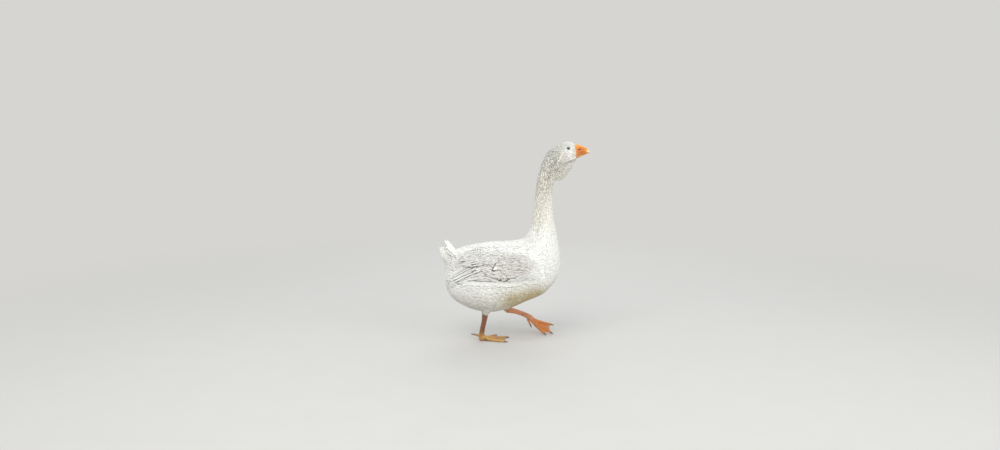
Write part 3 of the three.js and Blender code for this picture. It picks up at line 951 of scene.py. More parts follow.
class Palette:
    """A new node material: its Principled shader, the place on the bird, and the colour laid on so far.

    Attributes:
        made: the material.
        shader: its shader.
        tree: its nodes.
        place: Object coordinates.
        x, y, z: the place's parts.
        colour: what the layers laid with over() have come to.
    """

    def __init__(self, name: str) -> None:
        """Makes the material and its coordinate nodes.

        Args:
            name: the material's name.
        """
        self.made = bpy.data.materials.new(name)
        self.made.use_nodes = True
        self.tree = self.made.node_tree
        self.shader = self.tree.nodes["Principled BSDF"]
        self.place = add(self.tree, "ShaderNodeTexCoord", {}, {}, "Object")
        self.x, self.y, self.z = self.place.parts()
        self.colour: Node | Colour = (0.0, 0.0, 0.0)

    @cached_property
    def sway(self) -> Node:
        """A small wandering of x that makes the edges of marks uneven, in metres."""
        return (self.noise(48.0) - 0.5) * STRAY

    @cached_property
    def lift(self) -> Node:
        """The same for z."""
        return (self.noise(61.0) - 0.5) * STRAY

    @cached_property
    def vane(self) -> list[Node]:
        """Where a point lies on its feather: across it, along it, and the feather's random number."""
        return self.attribute("vane", "Vector").parts()

    @cached_property
    def curls(self) -> Node:
        """Flecks drawn out down the neck, each feather's own random number among them."""
        return self.noise(380.0, 2.0, 0.6, self.stretched(1.0, 1.0, 0.55)) * 0.85 + self.vane[2] * 0.15

    def noise(self, scale: float, detail: float = 3.0, rough: float = 0.55, vector: Node | None = None) -> Node:
        """Soft noise from 0 to 1."""
        inputs = {"Vector": vector or self.place, "Scale": scale, "Detail": detail, "Roughness": rough}
        return add(self.tree, "ShaderNodeTexNoise", {}, inputs)

    def cells(self, scale: float) -> Node:
        """Cell pattern: the distance to a cell's edge."""
        settings = {"feature": "DISTANCE_TO_EDGE"}
        return add(self.tree, "ShaderNodeTexVoronoi", settings, {"Vector": self.place, "Scale": scale}, "Distance")

    def attribute(self, name: str, output: str) -> Node:
        """What the mesh carries under a name, as a number (Fac) or as a Vector."""
        return add(self.tree, "ShaderNodeAttribute", {"attribute_name": name}, {}, output)

    def stretched(self, x: float, y: float, z: float) -> Node:
        """Object coordinates scaled along each axis."""
        return add(self.tree, "ShaderNodeVectorMath", {"operation": "MULTIPLY"}, {0: self.place, 1: (x, y, z)})

    def mix(self, share: Node | float, first: Node | Colour, second: Node | Colour) -> Node:
        """A colour between two, by a share from 0 to 1."""
        return add(self.tree, "ShaderNodeMix", {"data_type": "RGBA"}, {0: share, 6: first, 7: second}, 2)

    def over(self, share: Node | float, colour: Node | Colour) -> None:
        """Lays a colour over what is there, by a share from 0 to 1."""
        self.colour = self.mix(share, self.colour, colour)

    def spot(self, x: float, z: float, wide: float, high: float, soft: float = 0.5, stray: float = 1.0) -> Node:
        """An uneven oval of the side view: 1 inside, falling to 0 outside.

        Args:
            x: its middle's place ahead, in millimetres.
            z: its middle's height, in millimetres.
            wide: half width, in millimetres.
            high: half height, in millimetres.
            soft: how far the edge fades, as a share of the squared radius.
            stray: how uneven the edge is.

        Returns:
            The mask.
        """
        across = (self.x + self.sway * stray - x * MM) / (wide * MM)
        up = (self.z + self.lift * stray - z * MM) / (high * MM)
        return (across * across + up * up).step(1 + soft, 1 - soft)

    def stroke(self, start: tuple[float, float], end: tuple[float, float], half: float) -> Node:
        """A soft line of the side view.

        Args:
            start: x and z of its first end, in millimetres.
            end: x and z of its other end.
            half: half width, in millimetres.

        Returns:
            The mask.
        """
        x, z = self.x + self.sway * 0.3 - start[0] * MM, self.z + self.lift * 0.3 - start[1] * MM
        run, up = (end[0] - start[0]) * MM, (end[1] - start[1]) * MM
        share = ((x * run + z * up) / (run * run + up * up)).held()
        off, over = x - share * run, z - share * up
        return ((off * off + over * over) ** 0.5 / (half * MM)).step(1.3, 0.4)

    def bump(self, strength: float, distance: float, height: Node) -> Node:
        """A bump from a pattern of heights, where 1 is distance metres."""
        inputs = {"Strength": strength, "Distance": distance, "Height": height}
        return add(self.tree, "ShaderNodeBump", {}, inputs, "Normal")

    def finish(self, inputs: dict[str, Node | float]) -> Material:
        """Feeds the colour laid so far, and the other inputs, to the shader.

        Args:
            inputs: the shader's socket names to a Node or a value.

        Returns:
            The material.
        """
        for name, value in {"Base Color": self.colour, **inputs}.items():
            feed(self.tree, self.shader.inputs[name], value)
        return self.made


# ---- coats
@dataclass(frozen=True)
class Tract:
    """One run of like feathers over a sheet, rooted in columns along its flow.

    Attributes:
        shape: how each feather is cut.
        reach: first and last u of the roots, in the order of the flow.
        span: first and last v of the columns.
        columns: how many there are.
        gap: millimetres between roots along a column, over u.
        length: millimetres, over u.
        overlap: a feather's width as a share of the columns' spacing.
        sink: how deep roots lie, in millimetres, over u.
        rise: how high tips stand, in millimetres.
        camber: droop of the edges, in millimetres.
        thick: thickness, in millimetres.
        roll: spread of one edge's height over the other, in millimetres.
        yaw: spread of the feathers' turn, in degrees.
        fan: their common turn, in degrees over v.
        stray: spread of the feathers' rise, in millimetres.
        wander: how far a column sways sideways, as a share of the spacing.
        ragged: unevenness of the outlines.
    """

    shape: Shape
    reach: tuple[float, float]
    span: tuple[float, float]
    columns: int
    gap: Ramp
    length: Ramp
    overlap: float = 2.1
    sink: Ramp = ((0, 0.9),)
    rise: float = 0.1
    camber: float = 0.08
    thick: float = 0.1
    roll: float = 0.07
    yaw: float = 5.0
    fan: Ramp = ((0, 0.0),)
    stray: float = 0.08
    wander: float = 0.0
    ragged: float = 0.3

    def roots(self, surface: Surface, rng: np.random.Generator) -> tuple[Array, Array, Array]:
        """Places the roots: whole numbers of the running sum of metres per u over the gap, down each column.

        Args:
            surface: the sheet.
            rng: random numbers.

        Returns:
            u, v and the columns' spacing in metres at each root.
        """
        ends = self.columns if self.span == WHOLE_TURN else self.columns - 1
        lines = self.span[0] + (self.span[1] - self.span[0]) * np.arange(self.columns) / ends
        fine = np.linspace(*self.reach, COLUMN_STEPS)
        grid_u, grid_v = np.meshgrid(fine, lines, indexing="ij")
        _, per_u, _ = surface.slopes(grid_u, grid_v)
        density = per_u / (read(self.gap, grid_u) * MM)
        steps = (density[1:] + density[:-1]) / 2 * abs(fine[1] - fine[0])
        count = np.concatenate([np.zeros((1, self.columns)), np.cumsum(steps, 0)])
        u, v = [], []
        for column in range(self.columns):
            marks = np.arange(0.5 * (column % 2), count[-1, column])
            marks = marks + 0.22 * (rng.random(len(marks)) - 0.5)
            u.append(np.interp(marks, count[:, column], fine))
            v.append(np.full(len(marks), lines[column]))
        u, v = np.concatenate(u), np.concatenate(v)
        spacing = abs(self.span[1] - self.span[0]) / ends
        sway = np.sin(u * 4.1 + 2.7 * np.sin(v * 3)) * self.wander + 0.12 * (rng.random(len(u)) - 0.5)
        v = v + spacing * sway
        _, _, per_v = surface.slopes(u, v)
        return u, v, spacing * per_v

    def lay(
        self,
        surface: Surface,
        rng: np.random.Generator,
        keep: Callable[[Array, Array], Array] | None = None,
    ) -> Plumes:
        """Lays the tract's feathers on a sheet.

        Args:
            surface: the sheet.
            rng: random numbers.
            keep: says from u and the points which feathers stay.

        Returns:
            The feathers.
        """
        u, v, spacing = self.roots(surface, rng)
        if keep is not None:
            stays = keep(u, surface.at(u, v))
            u, v, spacing = u[stays], v[stays], spacing[stays]
        count = len(u)
        wild = scatter(rng, 6, count)
        full = np.full(count, MM)
        length = read(self.length, u) * MM * (1 + 0.1 * wild[0])
        bed = Bed(
            u=u,
            v=v,
            length=length,
            width=np.minimum(spacing * self.overlap, length * 0.95) * (1 + 0.08 * wild[1]),
            yaw=np.radians(self.yaw * wild[2] * 0.6 + read(self.fan, v)),
            curl=0.05 * wild[3],
            sink=read(self.sink, u) * MM,
            rise=full * (self.rise + self.stray * np.abs(wild[4])),
            camber=full * self.camber,
            roll=full * self.roll * wild[5],
            thick=full * self.thick,
            seed=rng.random(count),
            ragged=self.ragged,
        )
        return lay(surface, self.shape, bed, rng)


# The outline that the folded wing covers on the trunk: place ahead, then lower and upper height, in millimetres.
WING_COVER = [(-190, 272, 282), (-150, 276, 318), (-98, 286, 340), (-41, 280, 342), (40, 282, 330), (54, 300, 314)]


@dataclass
class Coat:
    """The body feathers, from the face to the rump, in pieces by region.

    Attributes:
        body: trunk, neck and head.
        seed: start of its random numbers.
    """

    body: Body
    seed: int = 11

    FACE = Tract(
        Shape.TUFT, (20.95, 15.0), WHOLE_TURN, 124,
        gap=((15, 3.2), (17, 2.8), (19.5, 2.3), (20.5, 1.9)),
        length=((15, 14), (17, 12), (19, 9.5), (20.9, 5.0)),
        sink=((15, 0.45), (17, 0.2), (20.9, 0.11)), rise=0.0, camber=0.0, thick=0.04,
        roll=0.03, yaw=9, stray=0.02,
    )
    NECK = Tract(
        Shape.RIDGE, (16.2, 9.2), WHOLE_TURN, 46,
        gap=((9, 6.0), (12, 4.4), (16, 3.0)),
        length=((9, 28), (12, 18), (16, 11)),
        overlap=1.55, sink=((9, 1.1), (12, 1.2), (16, 1.0)), camber=0.35, thick=0.12,
        roll=0.15, yaw=13, stray=0.2, wander=0.35,
    )
    TRUNK = Tract(
        Shape.BODY, (9.9, -0.42), WHOLE_TURN, 118,
        gap=((-0.3, 4.0), (0.2, 5.5), (1, 7), (3, 9.5), (6, 9.0), (8, 7.6), (10, 6.4)),
        length=((-0.42, 7), (0.1, 13), (0.7, 19), (1.5, 28), (3, 42), (6, 40), (8, 34), (10.5, 26)),
        sink=((0, 0.9), (8, 0.8), (10.5, 0.9)), rise=0.05, camber=0.05, thick=0.08,
        roll=0.06, yaw=10, stray=0.07, wander=0.3,
    )
    WAIST = 6.5  # the slice between the pieces of breast and rear
    EYE_GAP = 5.4  # no feather is rooted nearer to the eye's middle, mm
    UNDER_WING = 45  # a wing covers only what is farther out than this, mm

    def under_wing(self, points: Array) -> Array:
        """Which points of the trunk lie well under a folded wing.

        Args:
            points: the places of the roots.

        Returns:
            True for those under it.
        """
        x, low, high = np.array(WING_COVER, float).T * MM
        ahead = points[:, 0] - self.body.offset
        inside = (points[:, 2] > np.interp(ahead, x, low)) & (points[:, 2] < np.interp(ahead, x, high))
        return inside & (ahead > x[0]) & (ahead < x[-1]) & (np.abs(points[:, 1]) > self.UNDER_WING * MM)

    def off_eye(self, points: Array) -> Array:
        """Which points leave the eye and its lids free."""
        dx = points[:, 0] - self.body.offset - EYE[0] * MM
        return np.hypot(dx, points[:, 2] - EYE[1] * MM) >= self.EYE_GAP * MM

    def build(self, finish: Material) -> None:
        """Lays all tracts and makes one piece for each region.

        Args:
            finish: the plumage.
        """
        rng = np.random.default_rng(self.seed)
        face = self.FACE.lay(self.body, rng, lambda u, p: self.off_eye(p))
        neck = self.NECK.lay(self.body, rng)
        breast = self.TRUNK.lay(self.body, rng, lambda u, p: (u > self.WAIST) & ~self.under_wing(p))
        rear = self.TRUNK.lay(self.body, rng, lambda u, p: (u <= self.WAIST) & ~self.under_wing(p))
        for name, plumes in (("head", face), ("neck", neck), ("breast", breast), ("rear", rear)):
            plume_piece(f"coat_{name}", finish, [plumes])


def finish_piece(piece: Piece, finish: Material, slot: str, *replaced: str) -> Piece:
    """Gives a piece its material, and lets it ride on the bird's one body.

    Args:
        piece: the piece.
        finish: its material.
        slot: the record's slot; not used.
        replaced: the CAD nodes that it stands for.

    Returns:
        The same piece.
    """
    mesh = piece.data
    mesh.materials.clear()
    mesh.materials.append(finish)
    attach(piece, "root")
    if replaced:
        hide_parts(*replaced)
    LOG.info("%s: %d triangles", piece.name, len(mesh.loops) - 2 * len(mesh.polygons))
    return piece


# ---- wings and tail
def rim(u: Array, v: Array, rear: float) -> Array:
    """The share of a wing layer's lift at a place: full inside, down to the flank below and in front, less behind.

    Args:
        u: share from front to tip.
        v: share of the way up.
        rear: what is left at the tip.

    Returns:
        The share.
    """
    across = smooth(v, -0.05, 0.19) * (1 - 0.3 * smooth(v, 0.7, 1.0))
    along = np.minimum((0.12 + 3.2 * u).clip(0.12), (rear + 4 * (1 - u)).clip(rear))
    return across * np.minimum(1, along)


@dataclass
class Wing:
    """One folded wing: coverts over secondaries over primaries, with scapulars over its upper edge.

    Attributes:
        body: the trunk it lies on.
        side: which wing.
        seed: start of its random numbers.
    """

    body: Body
    side: Side
    seed: int = 40

    PROUD = 1.6  # how far the three layers stand off the flank at least, mm

    # Lower and upper edge of each sheet in the side view, front to tip.
    COVERTS = (
        [[88, 294], [61, 267], [19, 252], [-41, 249], [-98, 266]],
        [[84, 340], [54, 352], [9, 360], [-51, 364], [-104, 362]],
    )
    PRIMARIES = (
        [[29, 262], [-41, 251], [-110, 250], [-172, 250], [-222, 242]],
        [[23, 292], [-41, 312], [-100, 330], [-164, 296], [-236, 247]],
    )
    QUILLS = (
        [[-120, 304], [-148, 290], [-176, 276], [-205, 261], [-233, 245]],
        [[-110, 348], [-142, 338], [-178, 321], [-214, 300], [-247, 276]],
    )
    TERTIALS = (
        [[-62, 362], [-104, 340], [-146, 322], [-190, 300], [-236, 272]],
        [[-84, 377], [-136, 368], [-190, 346], [-232, 314], [-258, 280]],
    )
    SCAPULARS = (
        [[84, 326], [30, 338], [-40, 334], [-112, 326], [-170, 312]],
        [[60, 379], [10, 378], [-52, 377], [-118, 373], [-192, 354]],
    )
    BREAST_SIDE = (
        [[122, 264], [102, 250], [80, 246], [58, 247], [36, 252]],
        [[96, 384], [80, 378], [62, 371], [44, 365], [26, 363]],
    )

    OVER_QUILLS = Tract(
        Shape.COVERT, (-0.1, 0.14), (0.02, 0.98), 6,
        gap=((0, 20),), length=((-0.1, 42), (0.3, 50)),
        overlap=2.0, sink=((0, 1.2),), rise=1.1, camber=0.6, thick=0.25,
        roll=0.15, yaw=3, stray=0.3, ragged=0.08,
    )
    OVER_RUMP = Tract(
        Shape.COVERT, (-0.04, 0.4), (0.0, 1.0), 7,
        gap=((0, 16),), length=((0, 54), (0.5, 48)),
        sink=((0, 1.0),), camber=0.1, thick=0.12,
        roll=0.15, yaw=4, stray=0.1, ragged=0.14,
    )
    OVER_HAND = Tract(
        Shape.COVERT, (0.0, 0.72), (0.06, 1.0), 10,
        gap=((0, 12),), length=((0, 38), (1, 44)),
        yaw=5, ragged=0.14, fan=((0.04, -20), (0.3, 0)),
    )
    OVER_ARM = Tract(
        Shape.COVERT, (0.08, 0.93), (0.05, 0.86), 15,
        gap=((0, 8), (0.5, 11), (1, 15)), length=((0, 28), (0.5, 38), (1, 50)),
        yaw=6, ragged=0.16, fan=((0.04, -22), (0.24, 0)),
    )
    SHOULDER = Tract(
        Shape.COVERT, (0.1, 0.9), (0.0, 1.0), 13,
        gap=((0, 9), (1, 14)), length=((0, 30), (0.5, 42), (1, 50)),
        yaw=7, stray=0.12, ragged=0.16,
    )
    FRONT = Tract(
        Shape.BODY, (-0.06, 0.8), (0.04, 1.0), 23,
        gap=((0, 7.0),), length=((0, 28), (1, 30)),
        rise=0.05, camber=0.06, thick=0.09, roll=0.06, yaw=10,
        wander=0.3, ragged=0.25, fan=((0.03, -24), (0.2, 0)),
    )

    def panel(self, paths: tuple[Path, Path], out: Callable[[Array, Array], Array]) -> Panel:
        """A sheet between two paths, so many millimetres out from the flank."""
        return Panel(self.body, self.side, *paths, lambda u, v: out(u, v) * MM)

    def coverts(self) -> Panel:
        """The sheet of the arm's coverts."""
        return self.panel(self.COVERTS, lambda u, v: self.PROUD + 11.5 * rim(u, v, 0.62))

    def primaries(self) -> Panel:
        """The sheet of the hand."""
        return self.panel(self.PRIMARIES, lambda u, v: self.PROUD + 4.0 * rim(u, v, 0.35))

    def secondaries(self) -> Panel:
        """The sheet of the long quills: over the hand at its lower edge, down to the rump above, lower at its tip."""
        tip = lambda u: np.interp(u, (0, 0.6, 1.0), (1, 1, 0.5))
        return self.panel(self.QUILLS, lambda u, v: self.PROUD + (6.0 - 4.8 * smooth(v, 0.3, 1)) * tip(u))

    def tertials(self) -> Panel:
        """The sheet over the roots and the upper edge of the long quills, down to the rump above."""
        out = lambda u, v: 1.0 + (9.5 - 9.0 * np.clip(u, 0, 0.9)) * smooth(1 - v, 0, 0.8)
        return self.panel(self.TERTIALS, out)

    def scapulars(self) -> Panel:
        """The sheet over the wing's upper edge: out over the coverts below, down to the back above."""
        out = lambda u, v: 0.8 + 12.6 * np.interp(u, (-0.1, 0.35, 1.1), (0.0, 1, 0.8)) * smooth(1 - v, 0, 0.75)
        return self.panel(self.SCAPULARS, out)

    def breast_side(self) -> Panel:
        """The sheet over the wing's front edge: flush with the breast ahead, out over the coverts behind."""
        ends = lambda v: smooth(1 - v, 0.0, 0.3) * smooth(v, 0.0, 0.3)
        return self.panel(self.BREAST_SIDE, lambda u, v: 0.5 + 13.6 * smooth(u, 0.05, 0.7) * ends(v))

    def quills(
        self, panel: Panel, count: int, roots: Ramp, length: Ramp, width: Ramp, rng: np.random.Generator
    ) -> Plumes:
        """Lays long feathers side by side up a layer, each over the lower one.

        Args:
            panel: the layer's sheet.
            count: how many.
            roots: u of the roots, over v.
            length: millimetres, over v.
            width: millimetres, over v.
            rng: random numbers.

        Returns:
            The feathers.
        """
        v = (np.arange(count) + 0.5) / count
        wild = scatter(rng, 4, count)
        full = np.full(count, MM)
        bed = Bed(
            u=read(roots, v),
            v=v,
            length=read(length, v) * MM * (1 + 0.012 * wild[0]),
            width=read(width, v) * MM,
            yaw=np.radians(1.0) * wild[1],
            curl=0.004 * wild[2],
            sink=full * 7.0,
            rise=full * (0.6 + 0.25 * wild[3]),
            camber=full * 0.7,
            roll=full * -1.3,
            thick=full * 0.5,
            seed=rng.random(count),
            ragged=0.03,
            settle=3.5,
        )
        return lay(panel, Shape.QUILL, bed, rng)

    def build(self, finish: Material) -> None:
        """Lays the wing's feathers and makes one piece for each layer.

        Args:
            finish: the plumage.
        """
        rng = np.random.default_rng(self.seed + self.side.value)
        arm, hand = self.secondaries(), self.primaries()
        layers = {"coverts": [], "secondaries": [], "primaries": []}
        layers["secondaries"] += [
            self.quills(arm, 6, ((0, 0.04), (1, 0.0)), ((0, 124), (1, 152)), ((0, 13),), rng),
            self.OVER_QUILLS.lay(arm, rng),
            self.OVER_RUMP.lay(self.tertials(), rng),
        ]
        layers["primaries"] += [
            self.quills(hand, 5, ((0, 0.3), (1, 0.16)), ((0, 176), (1, 206)), ((0, 11), (1, 13)), rng),
            self.OVER_HAND.lay(hand, rng),
        ]
        layers["coverts"] += [
            self.OVER_ARM.lay(self.coverts(), rng),
            self.SHOULDER.lay(self.scapulars(), rng),
            self.FRONT.lay(self.breast_side(), rng),
        ]
        for layer, plumes in layers.items():
            name = f"wing_{self.side.hand}_{layer}"
            plume_piece(f"coat_{name}", finish, plumes, name)


@dataclass
class Tail:
    """The cocked tail: a fan of stiff feathers in two ranks, and soft coverts round its root.

    Attributes:
        body: the bird's trunk.
        seed: start of its random numbers.
        feathers: how many the fan has.
    """

    body: Body
    seed: int = 70
    feathers: int = 16

    SOFT = Tract(
        Shape.BODY, (-0.05, 0.8), WHOLE_TURN, 30,
        gap=((0, 7), (1, 5)), length=((0, 40), (0.6, 30), (1, 12)),
        overlap=2.0, sink=((0, 5.0), (1, 1.5)), rise=0.6, camber=1.2, thick=0.4,
        roll=0.15, yaw=7, stray=1.2, ragged=0.2,
    )

    def build(self, finish: Material) -> None:
        """Lays the fan and the coverts.

        Args:
            finish: the plumage.
        """
        rng = np.random.default_rng(self.seed)
        fan = Fan(self.body.offset)
        count = self.feathers
        v = (np.arange(count) + 0.5) / count
        wild = scatter(rng, 4, count)
        full = np.full(count, MM)
        rank = np.where(np.arange(count) % 2, 1.0, -1.0)
        quills = Bed(
            u=np.full(count, 0.25),
            v=v,
            length=full * fan.LENGTH * (0.735 + 0.035 * wild[0]),
            width=full * 17,
            yaw=np.radians(2.4) * wild[1],
            curl=0.012 * wild[2],
            sink=full * 0.0,
            rise=full * (0.9 * rank + 0.8 * wild[3]),
            camber=full * 1.2,
            roll=full * -1.3 * np.sign(2 * v - 1),
            thick=full * 0.6,
            seed=rng.random(count),
            ragged=0.05,
        )
        plume_piece("coat_tail", finish, [lay(fan, Shape.QUILL, quills, rng)], "tail")
        plume_piece("coat_tail_coverts", finish, [self.SOFT.lay(Cone(self.body.offset), rng)])


# ---- legs
# All sizes in millimetres; those of the foot are in its own frame: ahead, left, up, with the sole on the floor.
ANKLE_HEIGHT = 20.0
TOES = {"inner": (-33, 82, 7.0, 4.2), "middle": (-3, 104, 7.5, 4.4), "outer": (32, 95, 7.0, 4.2)}  # turn, length, ends
TOE_START = 6.0
TOE_ARCH = (10.0, 24.0)  # height over the sole at the ankle, and how far ahead it falls
SOLE = 0.78  # height of a toe's middle line as a share of its radius
HIND_TOE = (5.4, 3.4)  # radius at its root and its end
CLAW_SIZE = (13.0, 3.4, 0.9)  # length, then radius at its root and its end
CLAW_SIDES = 16
WEB_THICK, WEB_BAY = 3.0, 0.06  # the bay is a share of the toes' length
HEEL = (1.0, 7.5, 11.5)  # place ahead and up in the foot, and radius
ANKLE = (2.0, 18.0, 11.0)
HOCK = 12.8
THIGH = [[32, 30], [24, 23], [14, 13]]  # half depth and half width at equal steps down it
SHANK = [[12.8, 10.8], [10, 7.8], [9.8, 7.6], [11, 9.4]]
MELT = 1.15  # cell size of the legs' remesh


@dataclass
class Leg:
    """One leg: thigh, shank, webbed foot and claws.

    Attributes:
        side: which leg.
        offset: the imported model's shift ahead.
        thigh: path down the feathered thigh, millimetres.
        shank: path from there to the ankle.
        hind_toe: path of the hind toe.
        spread: how far the toes are spread, from 0 to 1.
        toe_in: turn of the foot inwards, in degrees.
        pitch: nose down, in degrees.
        roll: roll, in degrees.
        outer_rise: how far the outer toe is lifted, in degrees.
    """

    side: Side
    offset: float
    thigh: Path
    shank: Path
    hind_toe: Path
    spread: float = 1.0
    toe_in: float = 0.0
    pitch: float = 0.0
    roll: float = 0.0
    outer_rise: float = 0.0

    def place(self, points: Array) -> Array:
        """Carries points of a flat foot's own frame to the bird: down by the ankle, rolled, pitched, then moved.

        Args:
            points: (..., 3) array, in millimetres.

        Returns:
            The points in metres.
        """
        r, p = math.radians(self.roll) * self.side.value, math.radians(self.pitch)
        roll = np.array([[1, 0, 0], [0, math.cos(r), -math.sin(r)], [0, math.sin(r), math.cos(r)]])
        pitch = np.array([[math.cos(p), 0, math.sin(p)], [0, 1, 0], [-math.sin(p), 0, math.cos(p)]])
        turned = (points - np.array([0, 0, ANKLE_HEIGHT])) @ (pitch @ roll).T
        return (turned + np.array(self.shank[-1])) * MM + np.array([self.offset, 0, 0])

    def toe_line(self, name: str, distance: Array) -> Array:
        """A toe's middle line in the foot's frame: straight out, arched down from the ankle to the floor.

        Args:
            name: which toe.
            distance: how far out, in millimetres.

        Returns:
            The points.
        """
        turn, length, root, end = TOES[name]
        angle = math.radians(turn * self.spread - self.toe_in) * self.side.value
        distance = np.asarray(distance, float)
        rise = math.tan(math.radians(self.outer_rise)) * distance if name == "outer" else 0.0
        arch = TOE_ARCH[0] * np.exp(-((distance / TOE_ARCH[1]) ** 2))
        centre = SOLE * (root + (end - root) * np.clip(distance / length, 0, 1))
        return np.stack([distance * math.cos(angle), distance * math.sin(angle), centre + arch + rise], -1)

    def rod(self, line: Array, sizes: Array, around: int) -> Shell:
        """A closed round rod along a line of points: line + ahead * size * cos + across * size * sin.

        Args:
            line: (points, 3) array.
            sizes: the radius at each of them.
            around: points round the rod.

        Returns:
            The rod.
        """
        along = unit(np.gradient(line, axis=0))
        across = unit(np.array([0.0, 1.0, 0.0]) - along * along[:, 1:2])
        ahead = np.cross(across, along)
        turn = 2 * math.pi * np.arange(around) / around
        rings = line[:, None] + sizes[:, None, None] * (
            ahead[:, None] * np.cos(turn)[None, :, None] + across[:, None] * np.sin(turn)[None, :, None]
        )
        return tube(rings)

    def toe(self, name: str) -> Shell:
        """A toe with three soft knuckles and a rounded end pad.

        Args:
            name: which toe.

        Returns:
            The toe.
        """
        _, length, root, end = TOES[name]
        share = np.linspace(0, 1, 60)
        line = self.place(self.toe_line(name, TOE_START + (length - TOE_START) * share))
        knuckle = 1 + 0.14 * np.maximum(0, np.sin(share * math.pi * 5)) * (1 - 0.4 * share)
        tip = np.sqrt(np.clip((1.0 - share) / 0.045, 0.06, 1))
        return self.rod(line, (root + (end - root) * share) * knuckle * tip * MM, 20)

    def web(self, first: str, second: str) -> Shell:
        """The web between two toes, with a bay in its free edge and low folds that run out from the ankle.

        Args:
            first: the inner one of the toes.
            second: the outer one.

        Returns:
            The web.
        """
        u, v = np.meshgrid(np.linspace(0, 1, 40), np.linspace(0, 1, 36), indexing="ij")
        bay = 1 - WEB_BAY * np.sin(math.pi * v) ** 0.8
        near = TOE_START + 4
        distance = near + ((TOES[first][1] * (1 - v) + TOES[second][1] * v) * bay - near) * u
        middle = self.toe_line(first, distance) * (1 - v)[..., None] + self.toe_line(second, distance) * v[..., None]
        folds = 0.45 * np.sin(v * math.pi * 7) * np.sin(math.pi * v) * u
        middle[..., 2] += folds - 1.4 * np.sin(math.pi * v) * u
        half = np.array([0, 0, 1.0]) * (WEB_THICK / 2) * (1 - 0.35 * u)[..., None]
        return plate(self.place(middle + half), self.place(middle - half))

    def hind(self) -> Shell:
        """The hind toe.

        Returns:
            The toe.
        """
        share = np.linspace(0, 1, 24)
        line = path_at(self.hind_toe, share) + np.array([self.offset, 0, 0])
        sizes = (HIND_TOE[0] + (HIND_TOE[1] - HIND_TOE[0]) * share) * np.sqrt(np.clip((1 - share) / 0.1, 0.05, 1))
        return self.rod(line, sizes * MM, 16)

    def flesh(self) -> Piece:
        """Shank, heel, toes and webs, melted into one closed mesh and held over the floor.

        Returns:
            The mesh's object.
        """
        shank = Limb(self.shank, SHANK, self.offset)
        parts = [tube(shank.at(*net(np.linspace(0, 1, 70), 28))), *(self.toe(name) for name in TOES)]
        parts += [self.web("inner", "middle"), self.web("middle", "outer"), self.hind()]
        turn, lift = np.meshgrid(2 * math.pi * np.arange(24) / 24, np.linspace(-0.48, 0.48, 15) * math.pi)
        ball = np.stack([np.cos(lift) * np.cos(turn), np.cos(lift) * np.sin(turn), np.sin(lift)], -1)
        parts += [tube(self.place(ball * size + np.array([ahead, 0, up]))) for ahead, up, size in (HEEL, ANKLE)]
        parts.append(tube(ball * HOCK * MM + shank.line(np.array(0.0))))
        made = joined(f"leg_{self.side.hand}", parts)
        melt(made, MELT * MM, 5)
        points = points_of(made)
        points[:, 2] = np.maximum(points[:, 2], 0.0)
        made.data.vertices.foreach_set("co", points.astype(np.float32).ravel())
        made.data.update()
        return made

    def claw_line(self, name: str, share: Array) -> Array:
        """A claw's middle line: on from the toe, and a front one's bent down to its end.

        Args:
            name: its toe.
            share: share of its length.

        Returns:
            The points, in metres.
        """
        length = CLAW_SIZE[0] * share
        if name == "hind":
            before, last = (np.array(p, float) for p in self.hind_toe[-2:])
            return (last + unit(last - before) * length[:, None]) * MM + np.array([self.offset, 0, 0])
        flat = self.toe_line(name, TOES[name][1] + length)
        flat[:, 2] -= 1.3 * np.clip(share, 0, 1) ** 2
        return self.place(flat)

    def claws(self, finish: Material) -> None:
        """Makes the four claws: blunt and tapered.

        Args:
            finish: the claws' horn.
        """
        _, root, end = CLAW_SIZE
        share = np.linspace(-0.25, 1, 22)
        sizes = (root + (end - root) * np.clip(share, 0, 1) ** 1.3) * np.sqrt(np.clip((1 - share) / 0.06, 0.1, 1))
        for name in (*TOES, "hind"):
            points, triangles = self.rod(self.claw_line(name, share), sizes * MM, CLAW_SIDES)
            points[:, 2] = np.maximum(points[:, 2], 0.0)
            claw = f"{self.side.hand}_{name}"
            finish_piece(mesh_of(f"horn_{claw}", points, triangles), finish, "claw", f"claw_{claw}")


def joined(name: str, parts: list[Shell]) -> Piece:
    """One object from several closed shells.

    Args:
        name: its name.
        parts: the shells.

    Returns:
        The object.
    """
    starts = np.cumsum([0, *(len(points) for points, _ in parts[:-1])])
    points = np.concatenate([points for points, _ in parts])
    return mesh_of(name, points, np.concatenate([t + s for (_, t), s in zip(parts, starts)]))


def points_of(piece: Piece) -> Array:
    """The piece's points.

    Args:
        piece: the object.

    Returns:
        (points, 3) array.
    """
    flat = np.zeros(len(piece.data.vertices) * 3, np.float32)
    piece.data.vertices.foreach_get("co", flat)
    return flat.reshape(-1, 3).astype(float)


def settle(piece: Piece) -> None:
    """Applies the piece's modifiers to its mesh.

    Args:
        piece: the object.
    """
    graph = bpy.context.evaluated_depsgraph_get()
    mesh = bpy.data.meshes.new_from_object(piece.evaluated_get(graph), depsgraph=graph)
    piece.modifiers.clear()
    old, piece.data = piece.data, mesh
    bpy.data.meshes.remove(old)
    mesh.polygons.foreach_set("use_smooth", np.ones(len(mesh.polygons), bool))


def melt(piece: Piece, voxel: float, rounds: int) -> None:
    """Remeshes overlapping shells into one skin and smooths its seams.

    Args:
        piece: the object.
        voxel: cell size in metres.
        rounds: how many times neighbours are averaged.
    """
    remesh = piece.modifiers.new("melt", "REMESH")
    remesh.mode = "VOXEL"
    remesh.voxel_size = voxel
    even = piece.modifiers.new("even", "SMOOTH")
    even.factor, even.iterations = 0.5, rounds
    settle(piece)


